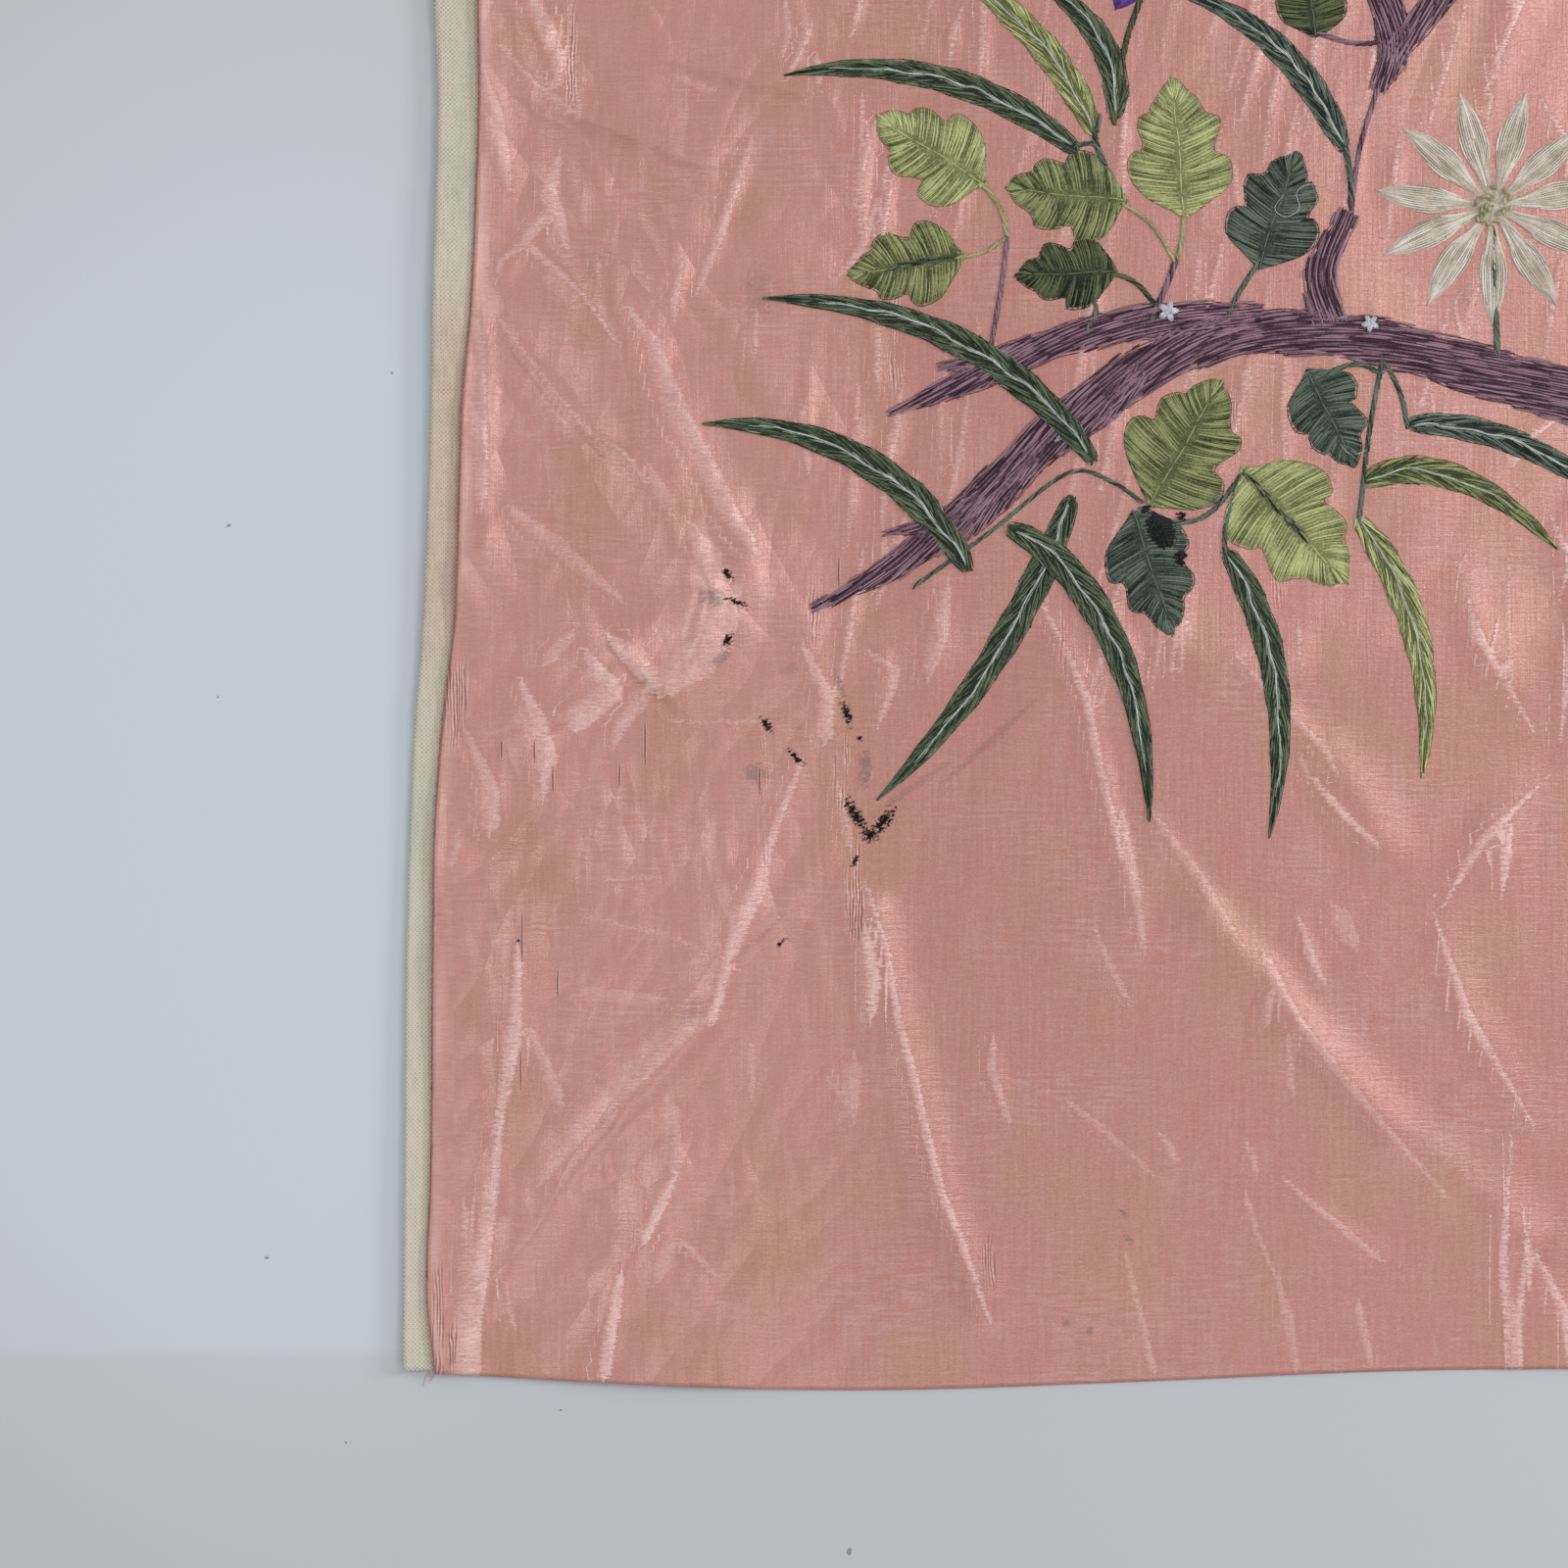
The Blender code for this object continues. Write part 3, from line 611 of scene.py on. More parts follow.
# Marks on the cloth: u, v, half length, half width, turn in degrees.
stains = dict(
    ink=(
        (109.4, 296.8, 2.6, 1.1, -50), (113, 286.4, 4.2, 1.0, -20), (109.2, 272.6, 3.2, 1.4, 60),
        (123.6, 241.7, 3.2, 1.2, -50), (134.2, 229.8, 4.0, 1.0, -45), (152.9, 246, 4.4, 1.3, -75),
        (156.4, 208.6, 6.6, 1.9, -56), (161.6, 201.6, 2.8, 2.5, 20), (166.4, 206, 5.4, 2.1, 52),
        (156, 191.8, 2.2, 0.9, 65), (129.3, 162, 2.3, 0.7, 40), (32.9, 162.7, 0.9, 0.8, 0),
        (158, 236.8, 1.1, 0.9, 0), (255.5, 301, 1.9, 1.5, 30), (276, 318, 1.9, 2.2, 0),
    ),
    grey=(
        (104.3, 288.2, 3.2, 2.0, -10), (119.8, 223.9, 3.2, 2.5, 0), (107, 266, 3.2, 1.4, 40),
        (150.5, 256, 4.0, 1.0, -70), (254.6, 62.4, 1.3, 0.8, -40), (256.4, 52.8, 1.6, 0.8, -50),
        (233.8, 22, 0.9, 1.3, 0), (242.3, 19.4, 0.9, 1.2, 0), (160, 226, 1.4, 4.0, 0),
    ),
    brown=(
        (158.8, 221.6, 1.9, 2.1, 0), (158.4, 229, 1.3, 1.6, 0), (176, 218, 12, 1.0, 35),
        (206, 236, 16, 0.9, 42), (132, 262, 2.2, 1.4, 10), (121, 400, 3.5, 6, 0),
    ),
    blot=((269, 314, 4.4, 7.6, 24), (274, 320, 2.6, 2.6, 0)),  # on the stitches of a leaf
)

satinLook = dict(
    base=(0.560, 0.210, 0.164),
    leftLitBase=(0.632, 0.256, 0.204),
    # lighter on the left, a painted light
    rimBase=(0.500, 0.190, 0.145),
    worn=(0.545, 0.225, 0.140),
    pale=(0.720, 0.430, 0.400),
    # painted shade in dim bands, in a thin line along the satin's edge and between drawn threads
    paintedShade=(0.280, 0.080, 0.058),
    inkColour=(0.010, 0.011, 0.010),
    greyColour=(0.110, 0.095, 0.085),
    brownColour=(0.160, 0.065, 0.030),
    middle=(150, 265),  # the panel point about which left and right, above and below differ
    spread=(35, 30),  # how gently they do
    roughness=0.28,
    metallic=0.15,
    sheen=0.12,
    sheenTint=(1.0, 0.82, 0.78),
    specular=1.0,
    ridges=(  # size across and along, turn in degrees, height, where they show
        ((19, 70), 30, 2.0, "upper"),
        ((11, 42), -22, 0.8, "upper"),
        ((18, 62), -36, 2.9, "lower"),
        ((12, 50), 14, 1.4, "lower"),
        ((22, 90), -18, 0.7, "right"),
    ),
    warpBump=0.10,
    weftBump=0.16,
    grainBump=0.08,
)

# Threads drawn up in the satin: u, v of the middle, half width, half height, depth.
corrugations = dict(
    pitch=1.2,
    places=(
        (9.6, 252, 4.8, 24, 0.9), (151.5, 223.5, 3.8, 17, 0.9), (156.5, 180, 3.8, 23, 1.0),
        (5.4, 15, 5.4, 16, 1.0), (3.2, 34, 2.0, 16, 0.7), (205, 43, 2.4, 13, 0.8),
        (51.8, 488, 2.2, 24, 0.9), (170.8, 380, 2.2, 28, 0.8), (178.2, 322, 2.2, 16, 0.8),
        (140.6, 281, 1.8, 14, 0.7), (123, 215, 1.8, 36, 0.45), (226, 470, 2.0, 20, 0.6),
        (296, 352, 2.0, 16, 0.6), (232, 268, 1.8, 18, 0.5), (311, 300, 2.0, 20, 0.5),
    ),
)


def drawnShare(u, v):
    # how strongly the threads are drawn up at each point of the satin
    share = np.zeros_like(u)
    for u0, v0, halfWidth, halfHeight, depth in corrugations["places"]:
        away = np.hypot((u - u0) / (halfWidth + 0.8), (v - v0) / halfHeight)
        share = np.maximum(share, depth * (1 - ramp(away, 0.55, 1.05)))
    return share


def satinCloth():
    look = satinLook
    made, shader, where = newMaterial("satin")
    across, half, pale, rim, drawn = map(where.attribute, ("across", "half", "pale", "rim", "drawn"))
    warp = where.noise((1.4, 30, 50), 3, 0.75)
    weft = where.noise((13, 1.2, 50), 3, 0.75)
    grain = where.noise((1.5, 0.8, 50), 2, 0.7)
    fine = where.noise((4.5, 0.7, 50), 2, 0.6)
    patch = where.noise((46, 60, 60), 3, 0.6)
    east, north = where.part(0), where.part(1)

    # the cloth's colour with worn patches and weave streaks; lighter on the left, a painted light, and
    # patches of painted sheen in the weft streaks
    x, y, _ = (float(part) for part in place((*look["middle"], 0)))
    spreadX, spreadY = (part * mm for part in look["spread"])
    right = east.between(x - spreadX, x + spreadX)
    above = north.between(y - spreadY, y + spreadY)
    colour = right.mixed(look["leftLitBase"], look["base"])
    colour = patch.between(0.44, 0.74).mixed(colour, look["worn"])
    sheenPatch = where.noise((62, 34, 60), 1).between(0.46, 0.68)
    threads = warp.swing(0.8) + (weft - 0.5) * (0.5 + 1.3 * sheenPatch) + grain.swing(0.6) + sheenPatch * 0.06
    colour = (threads.between(-0.25, 0.6) * 0.62).mixed(colour, look["pale"])

    # the painted highlight of the bands, crisp on one side and fading on the other, and painted shade where a
    # band's strength is below 0
    frayed = grain.swing(2.2) + warp.swing(1.0) + fine.swing(2.6)
    crisp = half - across + frayed
    lean = (across + frayed) / (half + 0.4)
    cloud = where.noise((8, 11, 50), 1)
    shine = crisp.between(-0.6, 1.0) * (lean.between(-1.3, 0.5) * 0.8 + lean.between(-1.05, -0.55) * 0.35)
    shine = shine * pale * (0.45 + cloud + fine.swing(3.0) + grain.swing(1.6))
    colour = shine.mixed(colour, bands["paintedSheen"])
    colour = (shine * -0.5).mixed(colour, look["paintedShade"])

    # the left rim: a worn tone with grain, a painted highlight a little inside the edge, and painted shade in
    # a thin line along the edge
    strip = 1 - (rim + patch.swing(22) + weft.swing(8)).between(2, 15)
    colour = (strip * 0.4).mixed(colour, look["rimBase"])
    colour = (strip * (fine - 0.4) * 1.3).mixed(colour, look["pale"])
    rimSheen = rim.between(0.8, 2.0) * (1 - rim.between(2.5, 6.5)) * patch.between(0.35, 0.6) * 0.4
    colour = rimSheen.mixed(colour, bands["paintedSheen"])
    colour = ((1 - rim.between(0.3, 0.9)) * 0.55).mixed(colour, look["paintedShade"])

    # threads drawn up: a painted highlight on their ridges and painted shade between them
    wobble = where.noise((2.2, 9, 50), 1).swing(8.5) + where.noise((9, 26, 50), 0).swing(14)
    phase = east * (2 * math.pi / (corrugations["pitch"] * mm)) + wobble
    drawn = phase.maths("SINE") * drawn * where.noise((3, 16, 50), 0).between(0.25, 0.6)
    colour = (drawn.between(0.15, 0.8) * 0.55).mixed(colour, bands["paintedSheen"])
    colour = (drawn.between(0.0, -0.7) * 0.8).mixed(colour, look["paintedShade"])

    # stains
    ragged = where.noise((1.1, 1.1, 50)).swing(2.0) + where.noise((2.4, 0.9, 50), 3, 0.8, 0.4).swing(4.5)
    for kind, strength, soft in (("brown", 0.26, 1.9), ("grey", 0.45, 1.7)):
        mask = (marks(where, stains[kind]) + ragged).between(soft, 0.8) * strength
        colour = mask.mixed(colour, look[kind + "Colour"])
    ink = (marks(where, stains["ink"]) + ragged).between(1.2, 0.62)

    # long creases finer than the mesh, sharp along the top
    shares = dict(right=right, upper=(1 - right) * above, lower=(1 - right) * (1 - above))
    folds = crisp.between(-0.6, 0.6) * lean.between(-1.4, 0.4) * pale * bands["bump"]
    for size, turn, rise, share in look["ridges"]:
        ridge = (where.noise((*size, 90), 0, turn=math.radians(turn)) - 0.5).maths("ABSOLUTE")
        folds = folds + ridge * rise * shares[share]
    height = warp * look["warpBump"] + weft * look["weftBump"] + grain * look["grainBump"]
    feed(shader, {
        "Base Color": colour,
        "Roughness": look["roughness"] + grain.swing(0.16) + (1 - rim.between(4, 14)) * 0.08,
        "Metallic": look["metallic"],
        "Specular IOR Level": look["specular"],
        "Sheen Weight": look["sheen"],
        "Sheen Roughness": 0.4,
        "Sheen Tint": look["sheenTint"],
        "Normal": (height + drawn * 0.12 + folds).bump(1.0, 1.0),
    })
    matt = {"Base Color": look["inkColour"], "Roughness": 0.9, "Specular IOR Level": 0.1}
    silk, inked = Wire(where.tree, shader.outputs[0]), where.node("ShaderNodeBsdfPrincipled", (), matt)
    surface = where.node("ShaderNodeMixShader", (), {0: ink, 1: silk, 2: inked})
    feed(where.tree.nodes["Material Output"], {"Surface": surface})
    return made


satinMesh = closedSheet("satin", gridU, gridV, gridTop, satinSheet["thickness"])
across, half, pale = bandField(gridU, gridV)
fields = dict(drawn=drawnShare(gridU, gridV), across=across, half=half, pale=pale)
fields["rim"] = gridU - satinEdge(gridV)
for key, field in fields.items():
    values = np.zeros(len(satinMesh.vertices))
    values[:field.size] = field.ravel()
    satinMesh.attributes.new(key, "FLOAT", "POINT").data.foreach_set("value", values)
satinMesh.materials.append(satinCloth())
satin = newPiece("satin", satinMesh, "satin", "satin_ground")
print("satin", len(satinMesh.vertices), "points")

# The linen tape under the satin's left edge.
tape = dict(
    tuck=3.0,
    foot=5.0,
    gap=0.12,
    thickness=0.4,
    across=8,
    up=((0, 510, 256), (510, 780, 64)),
    base=(0.700, 0.605, 0.475),
    pink=(0.680, 0.485, 0.370),
    green=(0.540, 0.540, 0.415),
    lower=(0.820, 0.740, 0.600),
    slub=(0.82, 0.79, 0.68),
    gaps=(0.30, 0.25, 0.17),
    pinkRun=(250, 380),  # v from, to
    thread=0.80,
    roughness=0.8,
    sheen=0.15,
    folds=(  # width of the east side, of the west side, and points u, v, height
        (3, 1.5, ((1, 376, 0.1), (5, 369, 0.9), (11, 358, 0.2))),
        (1.2, 2.5, ((-3, 274.5, 0.5), (3, 273, 0.6), (9, 272, 0.3))),
    ),
)


def tapeGrid():
    share, up = np.meshgrid(np.linspace(0, 1, tape["across"] + 1), stations(tape["up"]))
    v = tape["foot"] + (panel["height"] - tape["foot"]) * up / panel["height"]
    outer = tapeEdge(v)
    inner = satinEdge(v) + tape["tuck"]
    u = outer + (inner - outer) * share + 0.1 * np.sin(v / 3.7) * (share == 0)
    under = surfaceHeight(np.maximum(u, satinEdge(v)), v) - satinSheet["thickness"]
    fold = sum(tentHeight(u, v, chain, east, west) for east, west, chain in tape["folds"])
    rumple = 0.10 * np.sin(v / 9 + share * 2) + 0.07 * np.sin(v / 4.3 + 1)
    tucked = ramp(u - satinEdge(v), -1.5, 0)
    top = curlHeight(u, v) - tape["gap"] + (fold + rumple) * (1 - tucked)
    return u, v, np.minimum(top, np.where(tucked > 0, under - 0.05, 99))


def linenCloth():
    made, shader, where = newMaterial("linen")
    size = tape["thread"]
    warp = where.noise((size, size * 9, 50), 1)
    weft = where.noise((size * 9, size, 50), 1)
    rows, columns = (where.stretched((size, size, size)).part(axis) * math.pi for axis in (0, 1))
    weave = rows.maths("SINE") * columns.maths("SINE")
    along = where.part(1)
    low, high = (float(place((0, v, 0))[1]) for v in tape["pinkRun"])
    pink = along.between(low, low + 40 * mm) * (1 - along.between(high, high + 30 * mm))
    blotch = where.noise((14, 40, 50))
    colour = (pink * (0.35 + blotch)).mixed(tape["base"], tape["pink"])
    colour = ((1 - pink) * blotch.between(0.45, 0.75) * 0.7).mixed(colour, tape["green"])
    colour = ((warp + weft).between(0.75, 1.3) * 0.28).mixed(colour, tape["slub"])
    colour = (along.between(low, low - 90 * mm) * 0.4).mixed(colour, tape["lower"])
    colour = ((weave + (warp - 0.5)).between(0.0, -1.0) * 0.6).mixed(colour, tape["gaps"])
    bump = (weave * 0.5 + warp * 0.6 + weft * 0.6).bump(0.9, 0.2)
    shine = {"Roughness": tape["roughness"], "Sheen Weight": tape["sheen"]}
    feed(shader, {"Base Color": colour, "Normal": bump, **shine})
    return made


tapeMesh = closedSheet("edge_tape_cloth", *tapeGrid(), tape["thickness"])
tapeMesh.materials.append(linenCloth())
tapeCloth = newPiece("edge_tape_cloth", tapeMesh, "linen", "edge_tape")
print("tape", len(tapeMesh.vertices), "points")

# Threads: dark and light tone, roughness, and how far single stitches differ in tone.
threadTones = dict(
    green=((0.009, 0.020, 0.005), (0.165, 0.210, 0.115), 0.45, 0.9),
    lime=((0.120, 0.130, 0.030), (0.640, 0.655, 0.300), 0.42, 1.0),
    olive=((0.040, 0.048, 0.010), (0.400, 0.420, 0.180), 0.44, 1.2),
    sage=((0.085, 0.125, 0.070), (0.420, 0.490, 0.350), 0.45, 0.7),
    moss=((0.090, 0.110, 0.030), (0.420, 0.450, 0.200), 0.45, 0.7),
    deep=((0.003, 0.006, 0.001), (0.150, 0.175, 0.070), 0.48, 1.5),
    teal=((0.005, 0.014, 0.008), (0.165, 0.210, 0.155), 0.45, 1.4),
    bough=((0.050, 0.016, 0.030), (0.385, 0.215, 0.270), 0.42, 1.35),
    violet=((0.045, 0.009, 0.130), (0.240, 0.095, 0.460), 0.40, 0.8),
    cream=((0.500, 0.400, 0.300), (0.960, 0.890, 0.780), 0.48, 0.8),
    rib=((0.330, 0.390, 0.330), (0.860, 0.900, 0.840), 0.42, 0.5),
    stem=((0.260, 0.230, 0.090), (0.620, 0.560, 0.320), 0.42, 0.7),
    silver=((0.420, 0.430, 0.470), (0.880, 0.890, 0.930), 0.35, 0.6),
    pink=((0.440, 0.185, 0.150), (0.820, 0.500, 0.450), 0.30, 0.8),
    soot=((0.004, 0.004, 0.004), (0.030, 0.034, 0.032), 0.70, 0.6),
    slit=((0.320, 0.110, 0.080), (0.420, 0.170, 0.130), 0.60, 0.4),
)
threadMaterials = {}


def threadMaterial(name):
    if name in threadMaterials:
        return threadMaterials[name]
    dark, light, roughness, spread = threadTones[name]
    made, shader, where = newMaterial("thread_" + name)
    shade, along, around, top = map(where.attribute, ("shade", "along", "around", "top"))
    fleck, patch = where.noise((0.9, 0.9, 0.9)), where.noise((7, 7, 7), 1)
    tone = (shade - 0.5) * spread + min(spread, 1) / 2 + fleck.swing(0.9) + patch.swing(0.6)
    # strands lighter along the top and darker at the sides, painted shade across each strand; the padding,
    # without a top, is painted darker
    colour = (tone + (top - 0.6) * 0.5).between(-0.15, 1.1).mixed(dark, light)
    if name == "teal":
        soaked = (marks(where, stains["blot"]) + fleck.swing(0.9)).between(1.1, 0.8)
        colour = (soaked * 0.95).mixed(colour, satinLook["inkColour"])
    twist = (along * 5.2 + around * (2 * math.pi)).maths("SINE")
    bump = (twist + fleck.swing(1.5)).bump(0.5, 0.05)
    feed(shader, {"Base Color": colour, "Roughness": roughness, "Specular IOR Level": 0.3, "Normal": bump})
    threadMaterials[name] = made
    return made


# A Geometry Nodes tree that turns drawn lines into stitches, and leaves the padding under them as it is.
stitchTree = dict(
    points=5,  # along a stitch
    sides=5,
    flatness=0.85,  # height of a strand against its width
    lift=1.0,
)


def stitchNodes():
    tree = bpy.data.node_groups.new("stitches", "GeometryNodeTree")
    tree.is_modifier = True
    tree.interface.new_socket("Geometry", in_out="OUTPUT", socket_type="NodeSocketGeometry")
    kinds = dict(
        Geometry="Geometry", Points="Int", Sides="Int", Flatness="Float", Lift="Float", Thread="Material",
        Rib="Material", Accent="Material",
    )
    for name, kind in kinds.items():
        tree.interface.new_socket(name, in_out="INPUT", socket_type="NodeSocket" + kind)
    add = Wire(tree).node
    given = add("NodeGroupInput")

    def named(name, kind="FLOAT"):
        return add("GeometryNodeInputNamedAttribute", dict(data_type=kind), {"Name": name}, "Attribute")

    def stored(geometry, name, value):
        values = {"Geometry": geometry, "Name": name, "Value": value}
        return add("GeometryNodeStoreNamedAttribute", dict(data_type="FLOAT", domain="POINT"), values)

    lines = {"Geometry": given, "Selection": named("pad", "BOOLEAN")}
    lines = add("GeometryNodeSeparateGeometry", dict(domain="POINT"), lines, "Inverted")
    curves = add("GeometryNodeMeshToCurve", (), {"Mesh": lines})
    even = add("GeometryNodeResampleCurve", (), {"Curve": curves, "Count": given.beside("Points")})
    along = add("GeometryNodeSplineParameter")
    ends = (along * 2 - 1).maths("ABSOLUTE")
    arch = 1 - ends.maths("POWER", 3)  # 0 at both ends and 1 over most of the stitch
    rise = add("ShaderNodeCombineXYZ", (), {"Z": arch * named("lift") * given.beside("Lift")})
    raised = add("GeometryNodeSetPosition", (), {"Geometry": even, "Offset": rise})
    level = add("GeometryNodeSetCurveNormal", dict(mode="Z_UP"), {"Curve": raised})
    level = stored(level, "along", along.beside("Length") * (1 / mm))
    ring = add("GeometryNodeCurvePrimitiveCircle", (), {"Resolution": given.beside("Sides"), "Radius": 1})
    flat = add("ShaderNodeCombineXYZ", (), {"X": 1, "Y": given.beside("Flatness"), "Z": 1})
    upright = (0, 0, math.pi / 2 - 2 * math.pi / stitchTree["sides"])
    oval = add("GeometryNodeTransform", (), {"Geometry": ring, "Rotation": upright, "Scale": flat})
    oval = stored(oval, "around", along)
    # how far up or down the profile a point lies, for the painted shade across each strand
    oval = stored(oval, "top", add("GeometryNodeInputPosition").part(1).maths("ABSOLUTE"))
    thick = named("thick") * (0.45 + arch * 0.55)
    strand = add("GeometryNodeCurveToMesh", (), {
        "Curve": level, "Profile Curve": oval, "Fill Caps": True, "Scale": thick,
    })
    smooth = add("GeometryNodeSetShadeSmooth", (), {"Geometry": strand})
    joined = add("GeometryNodeJoinGeometry", (), {0: lines.beside("Selection")})
    tree.links.new(smooth.socket, joined.socket.node.inputs[0])
    last = add("GeometryNodeRealizeInstances", (), {"Geometry": joined})
    last = add("GeometryNodeSetMaterial", (), {"Geometry": last, "Material": given.beside("Thread")})
    for number, socket in ((1, "Rib"), (2, "Accent")):
        compare = dict(data_type="INT", operation="EQUAL")
        chosen = add("FunctionNodeCompare", compare, {2: named("thread", "INT"), 3: number})
        values = {"Geometry": last, "Selection": chosen, "Material": given.beside(socket)}
        last = add("GeometryNodeSetMaterial", (), values)
    feed(tree.nodes.new("NodeGroupOutput"), {0: last})
    return tree


stitches = stitchNodes()


# Strands of silk, and the padding under them.
strand = dict(
    width=0.86,
    pitch=0.92,  # across the strands
    lift=0.30,
    pad=0.34,
    padEdge=0.06,
    padSunk=0.2,
    shoulder=0.75,  # of the padding's crown, half way to its edge
    rimWidth=0.5,
    rimSunk=0.12,
    rimShade=-0.2,
    inset=0.7,
    fray=0.8,  # how far the ends run past the outline or stop short of it
    shortest=0.5,
    points=6,  # along a strand as it is drawn
    heights=(0.8, 1.25),  # how far single strands differ in lift
)


def sampled(at, places, rows):
    # points on a line, given by rows at places along it
    return np.stack([np.interp(at, places, column) for column in rows.T], axis=-1)


# A motif's own drawing: its lines, and the padding bodies under them.
class Motif:
    kinds = dict(thread="INT", pad="BOOLEAN", shade="FLOAT", thick="FLOAT", lift="FLOAT")

    def __init__(self, seed, raised=0.0, shades=(0.5, 0.24)):
        self.rng = np.random.default_rng(seed)
        self.raised = raised
        self.shades = shades  # middle and spread of the stitches' tones
        self.points, self.edges, self.faces = [], [], []
        self.values = {key: [] for key in self.kinds}
        self.count = 0
        self.sewn = 0

    def note(self, number, **values):
        # what the next points carry
        for key, value in values.items():
            self.values[key] += [value] * number
        self.count += number

    def lay(self, points, **values):
        # one strand through points u, v, z
        self.points.append(points)
        self.edges += [(self.count + k, self.count + k + 1) for k in range(len(points) - 1)]
        self.note(len(points), pad=False, **values)
        self.sewn += 1

    def stitch(self, line, width=0.7, lift=0.3, shade=None, thread=0, base=0.0):
        # one strand laid along a line of the panel
        line = np.asarray(line, float)
        if np.linalg.norm(line[-1] - line[0]) < strand["shortest"]:
            return
        line = sampled(np.linspace(0, len(line) - 1, strand["points"]), np.arange(len(line)), line)
        height = surfaceHeight(line[:, 0], line[:, 1]) + self.raised + base
        shade = float(np.clip(self.rng.normal(*self.shades), -0.3, 1.2)) if shade is None else shade
        lift, thick = lift * mm * self.rng.uniform(*strand["heights"]), width / 2 * mm
        self.lay(np.column_stack([line, height]), thread=thread, shade=shade, thick=thick, lift=lift)

    def rim(self, line):
        # a painted contact shadow: dark strands sunk a little along an outline
        for k in range(0, len(line) - 4, 3):
            run = line[k:k + 5]
            self.stitch(run, strand["rimWidth"], 0.02, shade=strand["rimShade"], base=-strand["rimSunk"])

    def padding(self, middle, left, right, crown, shade=0.0):
        # a closed low mound between two outlines, under the stitches; dark by default, painted shade where it
        # shows between the strands
        count = len(middle)
        edge = strand["padEdge"]
        shoulder = edge + strand["shoulder"] * (crown - edge)
        rows = (left, (left + middle) / 2, middle, (right + middle) / 2, right, right, left)
        lifts = (edge, shoulder, crown, shoulder, edge, -strand["padSunk"], -strand["padSunk"])
        for row, lift in zip(rows, lifts):
            ground = surfaceHeight(row[:, 0], row[:, 1]) + (self.raised if lift > 0 else 0)
            self.points.append(np.column_stack([row, ground + lift]))
        starts = [self.count + a * count for a in range(len(rows))]
        for k in range(count - 1):
            for a, b in zip(starts, starts[1:] + starts[:1]):
                self.faces.append((a + k, a + k + 1, b + k + 1, b + k))
        self.faces += [starts, [a + count - 1 for a in starts[::-1]]]
        self.note(count * len(rows), thread=0, pad=True, shade=shade, thick=0.0, lift=0.0)

    def padded(self, ribbon, end, count, narrow, crown, shade=0.0):
        # padding along a ribbon, a little inside its edges; gives the places of its rows
        rows = np.linspace(end, ribbon.size - end, count)
        inset = np.clip(1 - strand["inset"] / np.maximum(ribbon.halfAt(rows), narrow), 0.05, 1)
        self.padding(ribbon.at(rows, 0 * rows), ribbon.at(rows, inset), ribbon.at(rows, -inset), crown, shade)
        return rows

    def rimBeside(self, ribbon, rows, side, out):
        self.rim(ribbon.at(rows, side * (1 + out / np.maximum(ribbon.halfAt(rows), 1))))

    def finished(self, name, slot, threads, *nodes, points=None):
        # runs the stitch tree over the drawing and keeps the result as a plain mesh
        mesh = bpy.data.meshes.new(name)
        mesh.from_pydata(place(np.concatenate(self.points)).tolist(), self.edges, self.faces)
        for key, kind in self.kinds.items():
            mesh.attributes.new(key, kind, "POINT").data.foreach_set("value", self.values[key])
        drawn = newObject(name + "_drawn", mesh)
        modifier = drawn.modifiers.new("stitches", "NODES")
        modifier.node_group = stitches
        chosen = {key.capitalize(): value for key, value in stitchTree.items()}
        chosen["Points"] = points or stitchTree["points"]
        for key, thread in zip(("Thread", "Rib", "Accent"), (*threads, threads[0], threads[0])):
            chosen[key] = threadMaterial(thread)
        for item in stitches.interface.items_tree:
            if item.item_type == "SOCKET" and item.in_out == "INPUT" and item.name in chosen:
                modifier[item.identifier] = chosen[item.name]
        bpy.context.view_layer.update()
        graph = bpy.context.evaluated_depsgraph_get()
        evaluated = drawn.evaluated_get(graph)
        made = bpy.data.meshes.new_from_object(evaluated, preserve_all_data_layers=True, depsgraph=graph)
        made.name = name
        drawn.modifiers.remove(modifier)
        bpy.data.objects.remove(drawn)
        bpy.data.meshes.remove(mesh)
        newPiece(name, made, slot, *nodes)
        print(name, self.sewn, "strands")


def bezierLine(points, count):
    t = np.linspace(0, 1, count)[:, None]
    a, b, c, d = (np.array(point, float) for point in points)
    return (1 - t) ** 3 * a + 3 * (1 - t) ** 2 * t * b + 3 * (1 - t) * t**2 * c + t**3 * d


def throughLine(rows, count):
    # points of a smooth curve through the rows
    rows = np.array(rows, float)
    slopes = np.gradient(rows, axis=0)
    at = np.linspace(0, len(rows) - 1, count)
    i = np.minimum(at.astype(int), len(rows) - 2)
    return curveBetween(rows, slopes, i, (at - i)[:, None])


def normals(line):
    along = np.gradient(line, axis=0)
    along /= np.linalg.norm(along, axis=1)[:, None]
    return np.stack([-along[:, 1], along[:, 0]], axis=1)


def arcLength(line):
    return np.concatenate([[0], np.cumsum(np.linalg.norm(np.diff(line, axis=0), axis=1))])


class Ribbon:
    # a middle line with a half width along it; at() gives a point by length along and share across
    def __init__(self, line, half):
        self.line, self.half = np.asarray(line, float), np.asarray(half, float)
        self.out = normals(self.line)
        self.length = arcLength(self.line)
        self.size = self.length[-1]

    def halfAt(self, s):
        return np.interp(s, self.length, self.half)

    def at(self, s, t):
        s = np.clip(s, 0, self.size)
        point, out = (sampled(s, self.length, rows) for rows in (self.line, self.out))
        return point + out * np.asarray(self.halfAt(s) * t)[..., None]


